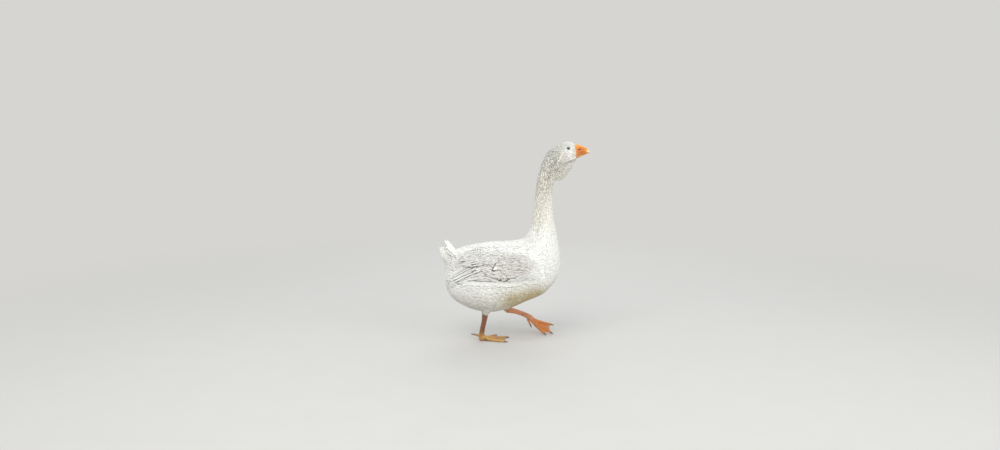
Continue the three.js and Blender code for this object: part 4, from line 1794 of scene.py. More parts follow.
def unite(piece: Piece, others: list[Piece]) -> None:
    """Joins closed solids into the first one, and removes them.

    Args:
        piece: the first solid.
        others: the solids that go into it.
    """
    for other in others:
        union = piece.modifiers.new(other.name, "BOOLEAN")
        union.operation, union.solver, union.object = "UNION", "MANIFOLD", other
    settle(piece)
    for other in others:
        bpy.data.objects.remove(other)


# ---- skin
@dataclass
class Skin:
    """The one skin under the feathers and on the legs.

    Attributes:
        body: trunk, neck and head.
        wings: both wings, for the flesh that their feathers lie on.
        legs: both legs.
    """

    body: Body
    wings: list[Wing]
    legs: list[Leg]

    # How deep the skin lies under the body's sheet, in millimetres over the slices.
    DEPTH = ((0, 4.0), (1.5, 3.0), (3, 2.3), (9, 2.2), (11, 2.2), (15, 1.9), (18, 1.2), (20.6, 0.8), (21, 0.4))
    WING_FLESH = ((2.2, 0.95, 0.86), (3.0, 0.7, 0.9), (2.6, 0.8, 0.96))  # mm under each layer, and where it ends
    WING_THICK = 22  # its thickness, mm
    SHANK_REACH = 17  # bare skin lies within this distance of a shank's middle line, mm
    FOOT_REACH, FOOT_HIGH = 130, 75  # and within this one of the ankle, under this height

    def trunk(self) -> Shell:
        """The body's sheet drawn in by the coat's depth."""
        u, v = net(np.linspace(0, LAST_SLICE, 300), 110)
        return tube(self.body.at(u, v, read(self.DEPTH, u) * MM))

    def wing_flesh(self, wing: Wing) -> list[Shell]:
        """Plates under the three feather layers of a wing.

        Args:
            wing: the wing.

        Returns:
            The plates.
        """
        made = []
        u, v = np.meshgrid(np.linspace(0, 1, 44), np.linspace(0, 1, 30), indexing="ij")
        panels = (wing.coverts(), wing.secondaries(), wing.primaries())
        for panel, (under, far, high) in zip(panels, self.WING_FLESH):
            top = panel.at(0.02 + (far - 0.02) * u, 0.06 + (high - 0.06) * v)
            side = np.array([0, wing.side.value, 0]) * MM
            made.append(plate(top - side * under, top - side * (under + self.WING_THICK)))
        return made

    def build(self, finish: Material) -> None:
        """Joins all flesh into one skin.

        Args:
            finish: the skin's material.
        """
        skin = joined("skin", [self.trunk()])
        offset, whole = self.body.offset, np.linspace(0, 1, 30)
        cone, pouch = Cone(offset, 5.0), Pouch(offset, 2.2)
        others = []
        for name, sheet, ends in (("cone", cone, (0, 0.97)), ("pouch", pouch, (0.03, 1))):
            others.append(joined(name, [tube(sheet.at(*net(np.linspace(*ends, 40), 48)))]))
        for wing in self.wings:
            for number, part in enumerate(self.wing_flesh(wing)):
                others.append(joined(f"{wing.side.hand}_{number}", [part]))
        for leg in self.legs:
            thigh = tube(Limb(leg.thigh, THIGH, offset, 4.0).at(*net(whole, 48)))
            others += [joined(f"thigh_{leg.side.hand}", [thigh]), leg.flesh()]
        unite(skin, others)
        skin.name = "skin"
        self.mark_legs(skin)
        flesh = ["trunk", "neck", "head", "dewlap", "tail_coverts"]
        flesh += [f"{part}_{leg.side.hand}" for leg in self.legs for part in ("thigh", "shank", "foot")]
        finish_piece(skin, finish, "leg_skin", *flesh)

    def mark_legs(self, skin: Piece) -> None:
        """Writes where bare leg skin begins, and how far along a toe each point lies, for the finish to read.

        Args:
            skin: the piece that gets the three attributes.
        """
        points = points_of(skin)
        bare, along, side = np.zeros(len(points)), np.zeros(len(points)), np.full(len(points), 99.0)
        for leg in self.legs:
            line = Limb(leg.shank, SHANK, self.body.offset).line(np.linspace(0, 1, 40))
            gap = np.linalg.norm(points[:, None] - line[None], axis=-1)
            below = (gap.argmin(1) > 0) | (points[:, 2] < line[0, 2] + 3 * MM)
            to_ankle = np.linalg.norm(points - line[-1], axis=-1)
            foot = (to_ankle < self.FOOT_REACH * MM) & (points[:, 2] < self.FOOT_HIGH * MM)
            bare = np.where(((gap.min(1) < self.SHANK_REACH * MM) & below) | foot, 1.0, bare)
            for name, (_, length, _, _) in TOES.items():
                steps = np.linspace(TOE_START, length, 60)
                away = np.linalg.norm(points[:, None] - leg.place(leg.toe_line(name, steps))[None], axis=-1)
                closer = away.min(1) < side
                along = np.where(closer, steps[away.argmin(1)], along)
                side = np.where(closer, away.min(1), side)
        for name, values in (("bare", bare), ("toe_along", along * MM), ("toe_away", side)):
            attribute = skin.data.attributes.new(name, "FLOAT", "POINT")
            attribute.data.foreach_set("value", values.astype(np.float32))


# ---- bill and eyes
@dataclass
class Bill:
    """Upper and lower bill, with nail, nostrils and the toothed edges of a grazing bird.

    Attributes:
        offset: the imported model's shift ahead.
    """

    offset: float

    # x, z of the two ridges and of the line between the halves, and half the upper one's width, root to tip.
    RIDGE = [[229.5, 771.5], [251, 768], [269.5, 760], [280.5, 751.5], [287, 742.5]]
    GAPE = [[235.3, 730.5], [251, 733], [269.5, 738.5], [280, 739.5], [286, 738.5]]
    KEEL = [[237.8, 717], [251, 723], [264, 729], [273.5, 733], [280, 736]]
    HALF = [[21.8], [18.8], [15.8], [12.6], [7]]
    LOWER_SHARE = 0.86
    NOSTRIL = (249.0, 752.0)
    NOSTRIL_TURN = -12
    TOOTH = 2.3  # spacing of the teeth, mm
    RINGS, AROUND = 150, 65

    def half(self, crest: Path, share: float, drop: float) -> tuple[Array, Array, Array, Array, Array]:
        """One half's plain shape: from edge over crest to edge, height = cos(turn)^0.75, width = sin(turn)^0.85.

        Args:
            crest: its ridge or keel.
            share: width as a share of the upper half's.
            drop: how far the gape line is lowered, in millimetres.

        Returns:
            x, y and z in millimetres, the share along, and the turn.
        """
        t, j = np.meshgrid(np.linspace(0, 1, self.RINGS), np.linspace(-0.5, 0.5, self.AROUND) * math.pi, indexing="ij")
        top, foot, half = (through(np.array(rows, float), t * 4) for rows in (crest, self.GAPE, self.HALF))
        height = np.abs(np.cos(j)) ** 0.75
        x = foot[..., 0] + (top[..., 0] - foot[..., 0]) * height
        z = foot[..., 1] - drop + (top[..., 1] - foot[..., 1] + drop) * height
        return x, half[..., 0] * share * signed_power(np.sin(j), 0.85), z, t, j

    def teeth(self, x: Array, t: Array, j: Array) -> Array:
        """How far the edge reaches down in small teeth: a cosine along the bill, only near the edge.

        Args:
            x: places ahead, in millimetres.
            t: share along.
            j: turn.

        Returns:
            The share of a tooth's height.
        """
        edge = smooth(np.abs(j), 0.42 * math.pi, 0.49 * math.pi)
        run = smooth(t, 0.06, 0.14) * smooth(t, 0.86, 0.78)
        return edge * run * (0.5 + 0.5 * np.cos(2 * math.pi * x / self.TOOTH))

    def upper(self) -> Shell:
        """The upper half: a nail raised at its tip, nostril pits, a hollow under the ridge, and teeth.

        Returns:
            The shell.
        """
        x, y, z, t, j = self.half(self.RIDGE, 1.0, 0.0)
        side = np.abs(np.sin(j))
        nail = smooth(t, 0.84, 0.875) * smooth(side, 0.92, 0.75)
        pit, lip = (
            bump_at(x * MM, z * MM, self.NOSTRIL, *size, self.NOSTRIL_TURN) * (side > 0.4)
            for size in ((5.6, 2.1), (8.2, 3.9))
        )
        hollow = np.exp(-(((side - 0.72) / 0.16) ** 2)) * smooth(t, 0.1, 0.3) * smooth(t, 0.9, 0.7)
        y = y - np.sign(y) * (0.9 * hollow + 4.2 * pit - 1.1 * (lip - pit).clip(0))
        return self.shell(x + 0.5 * nail, y, z + 0.9 * nail - self.teeth(x, t, j))

    def lower(self) -> Shell:
        """The lower half, its own teeth standing inside the upper edge.

        Returns:
            The shell.
        """
        x, y, z, t, j = self.half(self.KEEL, self.LOWER_SHARE, 0.3)
        groove = np.exp(-((j / 0.22) ** 2)) * smooth(t, 0.75, 0.5)
        return self.shell(x, y, z - 0.5 * self.teeth(x + self.TOOTH / 2, t, j) + 0.9 * groove)

    def shell(self, x: Array, y: Array, z: Array) -> Shell:
        """A closed shell through rings in millimetres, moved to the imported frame."""
        return tube(np.stack([x * MM + self.offset, y * MM, z * MM], -1))

    def build(self, finish: Material) -> None:
        """Makes both halves.

        Args:
            finish: the horn.
        """
        for name, shell in (("bill_upper", self.upper()), ("bill_lower", self.lower())):
            finish_piece(mesh_of(f"horn_{name}", *shell), finish, "bill", name)


@dataclass
class Eye:
    """One eye: a ball with a dark iris, and two thin lids round it.

    Attributes:
        side: which eye.
    """

    side: Side

    OPENING = 4.7  # half width between the lids, mm
    LID = 8.3  # radius of the lids' outer face, mm
    LID_THICK = 0.9
    LID_END = 1.42  # how far the lids reach out under the feathers, radians

    def sphere(self, angle: Array, turn: Array, radius: Array) -> Array:
        """Points round the eye's middle.

        Args:
            angle: angle from the axis that points sideways.
            turn: turn about that axis.
            radius: metres.

        Returns:
            The points.
        """
        low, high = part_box(f"eye_{self.side.hand}")
        centre = np.array([(low[k] + high[k]) / 2 for k in range(3)])
        x, z = np.sin(angle) * np.cos(turn) * radius, np.sin(angle) * np.sin(turn) * radius
        return centre + np.stack([x, self.side.value * np.cos(angle) * radius, z], -1)

    def ball(self) -> Shell:
        """A sphere whose poles point sideways, made 5 % fuller at the cornea."""
        angle, turn = net(np.linspace(0.01, math.pi - 0.01, 40), 48)
        return tube(self.sphere(angle, turn, EYE_RADIUS * MM * (1 + 0.05 * np.exp(-((angle / 0.5) ** 2)))))

    def lids(self) -> Shell:
        """A ring on a slightly larger sphere, from a rounded almond opening out under the feathers.

        Returns:
            The ring, its outer face and its inner one.
        """
        r, turn = net(np.linspace(0, 1, 26), 72)
        almond = 1 + 0.13 * np.cos(2 * (turn + 0.25)) - 0.05 * np.sin(turn)
        inner = np.arcsin(self.OPENING / self.LID) * almond
        angle = inner + (self.LID_END - inner) * r
        ridge = 0.35 * np.exp(-((r / 0.1) ** 2)) + 0.16 * np.sin(r * 26) * np.exp(-r * 2)
        fall = 0.5 * smooth(r, 0, 0.25) + 3.0 * smooth(r, 0.3, 1.0)
        outer = self.sphere(angle, turn, (self.LID + ridge - fall) * MM)
        under = self.sphere(angle, turn, (self.LID - self.LID_THICK - fall) * MM)
        rings = np.concatenate([outer, under[::-1]])
        points = rings.reshape(-1, 3)
        around = grid_triangles(len(rings) + 1, rings.shape[1], True) % len(points)  # the last ring meets the first
        return points, outward(points, around)

    def build(self, finish: Material, lid_finish: Material) -> None:
        """Makes the ball and the lids.

        Args:
            finish: the eye's material.
            lid_finish: the bare ring's material.
        """
        hand = self.side.hand
        finish_piece(mesh_of(f"ball_eye_{hand}", *self.ball()), finish, "eye", f"eye_{hand}")
        finish_piece(mesh_of(f"lids_{hand}", *self.lids()), lid_finish, "leg_skin")


# ---- finishes
@dataclass(frozen=True)
class Plumage:
    """White feathers: dirt and painted shade in the neck's furrows, a grey cast on the wing that is partly painted
    shade, and belly stains that are partly painted shade.

    The colours are linear; skin and feathers share the marks.
    """

    white: Colour = linear(247, 246, 240)
    cool: Colour = linear(222, 224, 222)
    # greyer down at each feather's root, and painted shade where the next feather covers it
    root: Colour = linear(204, 203, 197)
    # dirt, and painted shade in the neck's furrows and in the crease behind the jaw
    dust: Colour = linear(128, 120, 102)
    # a grey cast on the wing and under the vent, partly painted shade; also a tint over the brow
    lilac: Colour = linear(194, 188, 180)
    # a greyish film on the belly, partly painted shade, and painted shade on the dewlap
    film: Colour = linear(198, 190, 170)
    # painted shade between the long quills
    gap: Colour = linear(142, 142, 138)
    olive: Colour = linear(190, 170, 118)
    stain: Colour = linear(140, 112, 92)
    blush: Colour = linear(226, 214, 196)
    beige: Colour = linear(214, 196, 164)
    shade: Colour = linear(124, 122, 116)
    # dark brown: painted shade in the notch behind the wrist, and the brown flecks under the wing
    notch: Colour = linear(96, 80, 68)
    cream: Colour = linear(238, 228, 206)

    # Strokes of the side view that paint the shade in the notch behind the wrist: start, end, half width in
    # millimetres, share.
    HOOK = (
        ((-47, 343), (-70, 325), 2.0, 0.4),
        ((-70, 325), (-85, 300), 2.6, 0.85),
        ((-85, 300), (-77, 298), 2.6, 0.85),
        ((-77, 298), (-62, 304), 2.0, 0.7),
        ((-62, 304), (-28, 278), 1.8, 0.35),
    )
    # painted shadow under the tail's fan: start and end of each stroke, in millimetres
    TAIL_FOOT = (((-288, 375), (-257, 373)), ((-257, 373), (-226, 338)), ((-274, 398), (-262, 380)))
    QUILL_MIDDLE = (0.139, 0.320)  # how far back and how high the middle of the long quills is, metres
    QUILL_LIE = (0.792, 0.61)  # back and down along them
    TICKS = 2 * math.pi / 0.0098  # the shafts over the rump stand 9.8 mm apart

    def marks(self, p: Palette) -> None:
        """Lays the coat's colour at each place of the bird.

        Args:
            p: the material's palette.
        """
        across, along, seed = p.vane
        broad, fine, edge = p.noise(11.0), p.noise(95.0, 4.0, 0.65), across.magnitude()
        p.colour = p.mix((broad - 0.4) * 0.6 + seed * 0.3, self.white, self.cool)
        # darker towards each feather's root: partly its greyer down, partly painted shade under the feather that
        # overlaps it
        p.over(along.step(0.6, 0.2) * 0.1, self.root)
        self.wing_marks(p, edge, fine)
        # rear of the back: a row of pinkish brown shafts
        ticks = ((p.x + p.z * 0.2 + p.sway * 0.2) * self.TICKS).sine().step(0.1, 0.8)
        rear = p.spot(-137, 368, 26, 9, 0.4, 0.3) * ticks + p.spot(-190, 352, 30, 12) * fine.step(0.45, 0.65) * 0.4
        p.over(rear * 0.36, self.stain)
        # the notch behind the wrist with its hooked lower end: painted shade of a parted gap between the coverts, with
        # a brown stain
        p.over(p.spot(-72, 309, 9, 7, 0.4, 0.2), self.white)
        for start, end, half, share in self.HOOK:
            p.over(p.stroke(start, end, half) * share, self.notch)
        # painted shadow under the wing's lower edge, and the brown flecks ahead of it
        p.over(p.stroke((-176, 257), (-84, 258), 2.6) * (0.45 + fine.step(0.4, 0.7) * 0.45), self.shade)
        p.over(p.spot(-42, 266, 30, 8, 0.6, 0.6) * fine.step(0.46, 0.56) * 0.85, self.notch)
        # painted shadow along the foot of the tail's fan
        for start, end in self.TAIL_FOOT:
            p.over(p.stroke(start, end, 2.6) * 0.55, self.shade)
        # breast and belly, each mark partly a stain and partly painted shade that deepens lower down: a greyish film,
        # olive-yellow from the grass ahead, grey under the vent
        low = (p.z - p.x * 0.12 + p.lift).step(0.258, 0.165) * (p.x + p.sway).step(-0.09, 0.01) * p.x.step(0.17, 0.08)
        under = (p.z + p.lift).step(0.275, 0.15) * (0.6 + 0.4 * fine.step(0.3, 0.7))
        p.over(under * 0.42, self.film)
        p.over(low * (0.6 + 0.4 * broad.step(0.3, 0.6)), self.olive)
        vent = p.z.step(0.225, 0.13) * (p.x + 0.1).step(0.12, -0.06) * (0.35 + 0.65 * fine.step(0.3, 0.7))
        p.over(vent * 0.8, self.lilac)
        self.neck_marks(p, edge, fine)
        self.face_marks(p, fine)

    def wing_marks(self, p: Palette, edge: Node, fine: Node) -> None:
        """Lays a grey-beige cast, partly the wing's own dusty colour and partly painted shade, deeper on the lesser
        coverts, and painted shade in the gaps between the long feathers.

        Args:
            p: the material's palette.
            edge: how near a vane's edge a place is.
            fine: fine noise.
        """
        # a grey-beige cast over the wing, partly its own dusty colour and partly painted shade, deeper on the lesser
        # coverts
        p.over(p.spot(-86, 308, 170, 56) * (0.5 + 0.5 * fine.step(0.25, 0.7)) * 0.66, self.lilac)
        p.over(p.spot(6, 320, 66, 38) * fine.step(0.2, 0.7) * 0.7, self.lilac)
        (behind, high), (back, down) = self.QUILL_MIDDLE, self.QUILL_LIE
        off = ((p.x + behind) * down - (p.z - high) * back).magnitude()
        along = (p.x + behind) * -back - (p.z - high) * down
        long = off.step(0.021, 0.016) * along.step(-0.012, 0.004)
        # painted shade in the gaps between the long quills
        p.over(long * edge.step(0.3, 0.85) * 0.9, self.gap)
        p.over(long * edge.step(0.26, 0.1) * 0.6, self.white)

    def neck_marks(self, p: Palette, edge: Node, fine: Node) -> None:
        """Lays dirt flecks on the nape, denser higher up, and a darker tone along the vanes' edges in the neck's
        furrows that is partly dirt and partly painted shade.

        Args:
            p: the material's palette.
            edge: how near a vane's edge a place is.
            fine: fine noise.
        """
        ahead = p.x + p.sway - 0.107 - (p.z - 0.46) * 0.24
        behind = ahead.step(0.026, -0.012) * p.z.step(0.782, 0.735)
        dense, thin = p.z.step(0.50, 0.64), p.z.step(0.35, 0.46)
        # darker along the vanes' edges in the furrows: partly dirt, partly painted shade
        furrow = edge.step(0.35, 0.95) * fine.step(0.3, 0.65)
        many = 0.1 + furrow * 0.2 + p.curls.step(0.46, 0.53) * 0.6
        few = 0.03 + furrow * 0.14 + p.curls.step(0.51, 0.59) * 0.44
        p.over(p.z.step(0.40, 0.50) * p.z.step(0.72, 0.62) * 0.4, self.cream)
        p.over(behind * (many * dense + few * thin * (1 - dense)), self.dust)

    def face_marks(self, p: Palette, fine: Node) -> None:
        """Lays the face's warm tones, painted highlights on the cheek, the jaw's line as painted shade in its crease,
        and painted shade in the pleats of the dewlap.

        Args:
            p: the material's palette.
            fine: fine noise.
        """
        p.over(p.spot(190, 728, 26, 15, 0.95, 1.3) * 0.5, self.blush)
        p.over(p.spot(182, 767, 36, 13, 0.95) * 0.35, self.lilac)
        # painted highlights: two white spots on the cheek under the eye
        for place in ((211, 728), (222, 714)):
            p.over(p.spot(*place, 8, 8, 0.8, 0.3) * 0.8, self.white)
        # the jaw's line: painted shade in the crease behind the jaw
        jaw = (p.z + p.lift * 0.3 - 0.702 - (p.x - 0.19) * 0.24).magnitude().step(0.0085, 0.0)
        p.over(jaw * p.x.step(0.165, 0.196) * 0.45, self.dust)
        p.over(p.spot(229, 744, 8, 32, 0.9) * (0.3 + 0.7 * fine) * 0.7, self.beige)
        # painted shade on the dewlap, under the head
        p.over(p.spot(186, 674, 40, 32) * fine.step(0.3, 0.7) * 0.45, self.film)
        p.over(p.spot(160, 684, 12, 22, 0.8) * p.curls.step(0.46, 0.54) * 0.5, self.dust)

    def make(self) -> Material:
        """The feathers' material: matt, with the barbs' fine ridges across each vane.

        Returns:
            The material.
        """
        p = Palette(PLUMAGE)
        self.marks(p)
        across, along, _ = p.vane
        barbs = (along * 170.0 + across.magnitude() * 46.0).sine() * p.z.step(0.46, 0.4)
        soft = p.noise(420.0, 2.0)
        height = (barbs * 0.35 + soft) * (1 - p.z.step(0.6, 0.7) * 0.75)
        return p.finish({
            "Roughness": 0.72 + 0.18 * soft,
            "Normal": p.bump(0.5, 0.0003, height),
            "Specular IOR Level": 0.25,
            "Sheen Weight": 0.08,
        })


@dataclass(frozen=True)
class LegSkin:
    """Scaly leg skin: the standing foot tan with a red-brown shank, the landing foot orange with pinkish webs."""

    tan: Colour = linear(214, 164, 92)
    hock: Colour = linear(142, 92, 66)
    orange: Colour = linear(216, 132, 66)
    web: Colour = linear(224, 154, 112)
    seam: Colour = linear(116, 74, 52)
    dirt: Colour = linear(104, 88, 74)

    SCUTES = 2 * math.pi / 0.0034  # the toes' rings stand 3.4 mm apart

    def make(self, plumage: Plumage) -> Material:
        """The skin's material: plumage marks under the feathers and scales where it is bare.

        Args:
            plumage: the coat's finish, whose marks the feathered skin carries.

        Returns:
            The material.
        """
        p = Palette("goose_skin")
        bare, toe_along, toe_away = (p.attribute(name, "Fac") for name in ("bare", "toe_along", "toe_away"))
        on_toe = toe_away.step(0.0105, 0.0065)
        lines = p.cells(430.0).step(0.12, 0.02) * (1 - on_toe * 0.8)
        lines = lines + (toe_along * self.SCUTES).sine().step(-0.55, -0.98) * on_toe
        right = p.mix(p.z.step(0.012, 0.045), self.tan, self.hock)
        left = p.mix(on_toe, self.web, self.orange)
        p.colour = p.mix(p.y.step(0.02, 0.05), right, left)
        p.over(p.noise(38.0).step(0.45, 0.75) * 0.35, self.seam)
        p.over(lines * 0.55, self.seam)
        p.over(p.z.step(0.016, 0.001) * p.noise(90.0).step(0.35, 0.7) * 0.6, self.dirt)
        leg = p.colour
        plumage.marks(p)
        p.over(bare, leg)
        return p.finish({
            "Roughness": 0.8 - bare * 0.28 + p.noise(60.0) * 0.1,
            "Normal": p.bump(0.6, 0.0006, (1 - lines) * bare + p.noise(300.0) * 0.3),
        })


@dataclass(frozen=True)
class BillHorn:
    """Orange horn, deeper round the nostril and along the mouth, a cream nail, a painted cream highlight along the
    ridge and painted shade in the nostril pits.
    """

    orange: Colour = linear(238, 168, 64)
    deep: Colour = linear(190, 96, 38)
    # painted highlight along the ridge
    cream: Colour = linear(246, 214, 160)
    nail: Colour = linear(238, 220, 182)
    # painted shade in the nostril pits
    pit: Colour = linear(96, 44, 26)
    mouth: Colour = linear(140, 62, 40)
    pink: Colour = linear(220, 140, 92)

    def make(self) -> Material:
        """The bill's material.

        Returns:
            The material.
        """
        p = Palette("bill_horn")
        broad, fine = p.noise(120.0, 4.0), p.noise(420.0)
        p.colour = p.mix(broad.step(0.38, 0.66) * 0.6, self.orange, self.deep)
        p.over(p.spot(254, 748, 19, 12, 0.8, 0.7) * 0.75, self.deep)
        streak = (p.z - 0.7385 - (p.x - 0.243) * 0.12 + p.lift * 0.5).magnitude().step(0.007, 0.001)
        p.over(streak * p.x.step(0.238, 0.25) * p.x.step(0.282, 0.262) * 0.5, self.mouth)
        # painted highlight: cream along the top of the ridge
        on = p.x - 0.2325
        under_ridge = 0.772 - on * 0.34 - on * on * 3.4 - p.z
        crest = under_ridge.step(0.009, 0.001) * p.y.magnitude().step(0.008, 0.002) * p.x.step(0.243, 0.262)
        p.over(crest * 0.75, self.cream)
        p.over(p.spot(292, 744, 12, 9.5, 0.25, 0.15) * p.z.step(0.737, 0.7405) * 0.9, self.nail)
        # painted shade in the nostril's pit
        p.over(p.spot(*Bill.NOSTRIL, 5.2, 1.9, 0.5, 0.0) * 0.92, self.pit)
        over_mouth = p.z - (0.7305 + (p.x - 0.2383) * 0.19)
        p.over(over_mouth.step(-0.0008, -0.003) * 0.55, self.pink)
        p.over(over_mouth.magnitude().step(0.0016, 0.0004) * 0.75, self.mouth)
        p.over(p.spot(236, 744, 5, 30) * 0.35, self.pink)
        return p.finish({"Roughness": 0.36 + 0.2 * fine, "Normal": p.bump(0.3, 0.0004, fine + broad)})


@dataclass(frozen=True)
class EyeGloss:
    """A wet dark eye: black pupil, slate iris with fine rays, darker rim."""

    pupil: Colour = linear(8, 8, 10)
    iris: Colour = linear(52, 60, 76)
    rim: Colour = linear(28, 26, 28)

    def make(self, body: Body) -> Material:
        """The eye's material; the pupil is centred on the eye's own axis.

        Args:
            body: the trunk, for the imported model's shift ahead.

        Returns:
            The material.
        """
        p = Palette("eye_wet")
        dx, dz = p.x - (EYE[0] * MM + body.offset), p.z - EYE[1] * MM
        away = (dx * dx + dz * dz) ** 0.5
        p.colour = p.mix(p.noise(900.0, 2.0) * 0.5, self.iris, self.rim)
        p.over(away.step(0.0037, 0.0048), self.rim)
        p.over(away.step(0.0027, 0.0023), self.pupil)
        return p.finish({"Roughness": 0.06, "Coat Weight": 1.0, "Coat Roughness": 0.03})


@dataclass(frozen=True)
class PlainSkin:
    """Bare skin or horn of one colour, mottled towards a second one.

    Attributes:
        name: the material's name.
        first: its colour.
        second: the colour of the mottles.
        scale: how fine they are.
        rough: least roughness.
    """

    name: str
    first: Colour
    second: Colour
    scale: float
    rough: float

    def make(self) -> Material:
        """Mixes the two colours by a patchy noise that is also the bump.

        Returns:
            The material.
        """
        p = Palette(self.name)
        patch = p.noise(self.scale, 4.0, 0.6)
        p.colour = p.mix(patch.step(0.3, 0.7), self.first, self.second)
        return p.finish({"Roughness": self.rough + patch * 0.15, "Normal": p.bump(0.4, 0.0003, patch)})


# ---- studio
@dataclass
class Studio:
    """Floor, background, lamps and camera.

    Attributes:
        floor_half: half the floor's width, in metres.
        floor_colour: the floor near the bird.
        far_colour: the background.
    """

    floor_half: float = 30.0
    floor_colour: Colour = linear(198, 196, 192)
    far_colour: Colour = linear(214, 213, 210)

    FLOOR_HEIGHT = -0.0005
    CAMERA_PLACE = (-0.054, -2.916, 0.837)
    CAMERA_DOWN = 7.395  # degrees under the horizon
    LENS, SENSOR = 27.18, 36.0  # mm
    SKY, SKY_STRENGTH = (0.93, 0.97, 1.0), 0.86
    AIM = (0.0, 0.0, 0.38)  # where the lamps point
    # Name, place in metres, size in metres, watts, warmth from 0 to 1.
    LAMPS = (
        ("key", (-1.2, -2.2, 3.0), 2.2, 56.0, 0.5),
        ("fill", (2.4, -2.0, 1.4), 2.6, 34.0, 0.0),
        ("back", (0.4, 2.8, 2.6), 2.2, 26.0, 0.0),
    )

    def put(self, name: str, data: bpy.types.ID, place: Triple, turn: Triple) -> Piece:
        """Puts a camera or a lamp into the scene.

        Args:
            name: its name.
            data: the camera's or the lamp's data.
            place: metres.
            turn: Euler angles.

        Returns:
            The object.
        """
        made = bpy.data.objects.new(name, data)
        made.location, made.rotation_euler = place, turn
        bpy.context.scene.collection.objects.link(made)
        return made

    def camera(self) -> None:
        """A camera a little over the bird's head, looking along +Y and slightly down."""
        data = bpy.data.cameras.new("camera")
        data.lens, data.sensor_width = self.LENS, self.SENSOR
        data.clip_start, data.clip_end = 0.05, 200.0
        turn = (math.radians(90 - self.CAMERA_DOWN), 0, 0)
        bpy.context.scene.camera = self.put("camera", data, self.CAMERA_PLACE, turn)

    def floor(self) -> None:
        """A wide floor that keeps the bird's shadow and fades to the background's colour far away."""
        h, z = self.floor_half, self.FLOOR_HEIGHT
        corners = np.array([[-h, -h, z], [h, -h, z], [h, h, z], [-h, h, z]])
        made = mesh_of("floor", corners, np.array([[0, 1, 2], [0, 2, 3]]))
        p = Palette("floor_paint")
        grain = p.noise(9.0, 4.0)
        p.colour = p.mix(grain * 0.25, self.floor_colour, self.far_colour)
        made.data.materials.append(p.finish({"Roughness": 0.85 + grain * 0.1}))
        away = (p.x * p.x + p.y * p.y) ** 0.5
        glow = add(p.tree, "ShaderNodeEmission", {}, {"Color": self.far_colour, "Strength": 1.0})
        seen = add(p.tree, "ShaderNodeLightPath", {}, {}, "Is Camera Ray")
        near = Node(p.tree, p.shader.outputs[0])
        mixed = add(p.tree, "ShaderNodeMixShader", {}, {0: seen * away.step(0.8, 3.4), 1: near, 2: glow})
        feed(p.tree, p.tree.nodes["Material Output"].inputs["Surface"], mixed)
        made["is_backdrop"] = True

    def world(self) -> None:
        """Soft even light from all round, and a pale background where the camera or a gloss sees it."""
        world = bpy.data.worlds.new("studio")
        bpy.context.scene.world = world
        world.use_nodes = True
        tree = world.node_tree
        sky = tree.nodes["Background"]
        feed(tree, sky.inputs["Color"], self.SKY)
        feed(tree, sky.inputs["Strength"], self.SKY_STRENGTH)
        pale = add(tree, "ShaderNodeBackground", {}, {"Color": self.far_colour, "Strength": 1.0})
        path = add(tree, "ShaderNodeLightPath", {}, {}, "Is Camera Ray")
        outputs = path.socket.node.outputs
        seen = path + Node(tree, outputs["Is Glossy Ray"]) + Node(tree, outputs["Is Transmission Ray"])
        mixed = add(tree, "ShaderNodeMixShader", {}, {0: seen, 1: Node(tree, sky.outputs[0]), 2: pale})
        feed(tree, tree.nodes["World Output"].inputs["Surface"], mixed)

    def lamp(self, name: str, place: Triple, size: float, watts: float, warm: float) -> None:
        """A square soft lamp that faces the bird's middle.

        Args:
            name: its name.
            place: metres.
            size: metres.
            watts: its power.
            warm: warmth from 0 to 1.
        """
        data = bpy.data.lights.new(name, "AREA")
        data.shape, data.size, data.energy = "SQUARE", size, watts
        data.color = (1.0, 1.0 - 0.05 * warm, 1.0 - 0.12 * warm)
        aim = np.array(self.AIM) - np.array(place)
        self.put(name, data, place, (math.acos(-aim[2] / np.linalg.norm(aim)), 0, math.atan2(-aim[0], aim[1])))

    def build(self) -> None:
        """Makes the whole stage."""
        self.camera()
        self.floor()
        self.world()
        for lamp in self.LAMPS:
            self.lamp(*lamp)
        bpy.context.scene.view_settings.view_transform = "Standard"


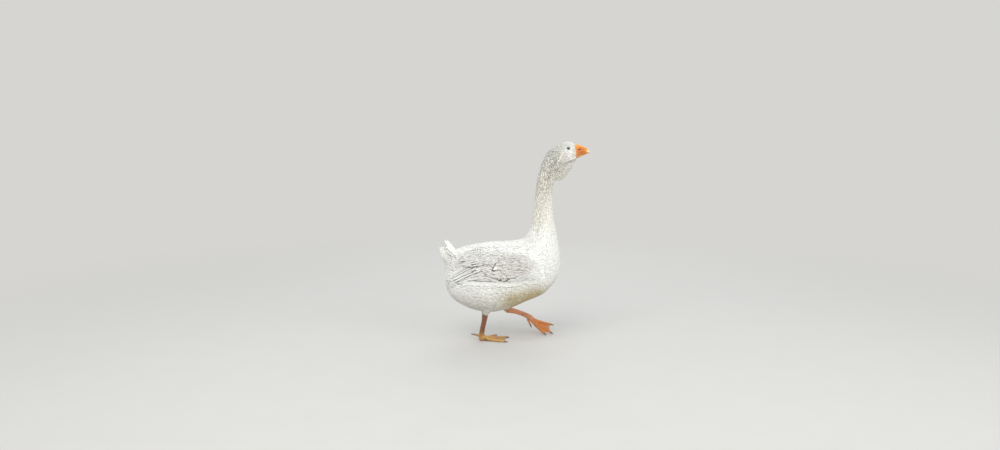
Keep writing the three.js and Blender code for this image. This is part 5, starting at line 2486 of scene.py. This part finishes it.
# ---- the whole bird
@dataclass
class SoftParts:
    """Feathers of the dewlap and the thighs.

    Attributes:
        legs: both legs.
        seed: start of its random numbers.
    """

    legs: list[Leg]
    seed: int = 90

    DEWLAP = Tract(
        Shape.TUFT, (1.02, 0.02), WHOLE_TURN, 40,
        gap=((0, 3.2),), length=((0, 9), (1, 10)),
        overlap=1.7, sink=((0, 2.0),), rise=0.3, camber=0.5, thick=0.25,
        roll=0.15, yaw=9, stray=0.4, ragged=0.2,
    )
    THIGH = Tract(
        Shape.LOCK, (-0.05, 0.92), WHOLE_TURN, 28,
        gap=((0, 6), (1, 4)), length=((0, 32), (1, 12)),
        overlap=2.2, sink=((0, 3.0), (1, 0.6)), rise=1.2, camber=0.6, thick=0.2,
        roll=0.15, yaw=12, stray=1.6,
    )

    def build(self, body: Body, finish: Material) -> None:
        """Lays the feathers and makes their pieces.

        Args:
            body: trunk, neck and head.
            finish: the plumage.
        """
        rng = np.random.default_rng(self.seed)
        plume_piece("coat_dewlap", finish, [self.DEWLAP.lay(Pouch(body.offset), rng)])
        for leg in self.legs:
            plumes = self.THIGH.lay(Limb(leg.thigh, THIGH, body.offset), rng)
            plume_piece(f"coat_thigh_{leg.side.hand}", finish, [plumes])


def corners(box: tuple) -> list[list[float]]:
    """A box as two plain lists."""
    return [[float(x) for x in corner] for corner in box]


def both_legs(offset: float) -> list[Leg]:
    """The standing right leg and the landing left one.

    Args:
        offset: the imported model's shift ahead.

    Returns:
        The legs.
    """
    right = Leg(
        Side.RIGHT, offset,
        thigh=[[-84, -60, 190], [-99, -53, 158], [-113, -46, 124]],
        shank=[[-114, -45, 120], [-119, -36, 84], [-126, -24, 50], [-130, -12, ANKLE_HEIGHT]],
        hind_toe=[[-134, -12, 14], [-147, -12, 21], [-160, -12, 24]],
        toe_in=16,
    )
    left = Leg(
        Side.LEFT, offset,
        thigh=[[-68, 64, 194], [-49, 62, 156], [-30, 60, 115]],
        shank=[[-24, 59, 106], [7, 64, 98], [38, 69, 86], [67, 74, 70]],
        hind_toe=[[64, 72, 60], [62, 67, 52], [66, 64, 43]],
        spread=0.5, pitch=29.5, roll=40, outer_rise=6,
    )
    return [right, left]


def main() -> None:
    """Builds every piece in order and reports it."""
    logging.basicConfig(level=logging.INFO, format="%(name)s %(message)s")
    cad_box = corners(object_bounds())
    Studio().build()
    body = Body()
    plumage = Plumage()
    feathers = plumage.make()
    claw_horn = PlainSkin("claw_horn", linear(84, 66, 52), linear(150, 124, 96), 260.0, 0.4).make()
    lid_skin = PlainSkin("lid_skin", linear(198, 182, 170), linear(168, 152, 142), 500.0, 0.5).make()
    legs = both_legs(body.offset)
    wings = [Wing(body, side) for side in Side]
    Skin(body, wings, legs).build(LegSkin().make(plumage))
    Bill(body.offset).build(BillHorn().make())
    wet = EyeGloss().make(body)
    for side in Side:
        Eye(side).build(wet, lid_skin)
    for leg in legs:
        leg.claws(claw_horn)
    for part in (Coat(body), *wings, Tail(body)):
        part.build(feathers)
    SoftParts(legs).build(body, feathers)
    {"cad": cad_box, "visual": corners(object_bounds())}


if __name__ == "__main__":
    main()
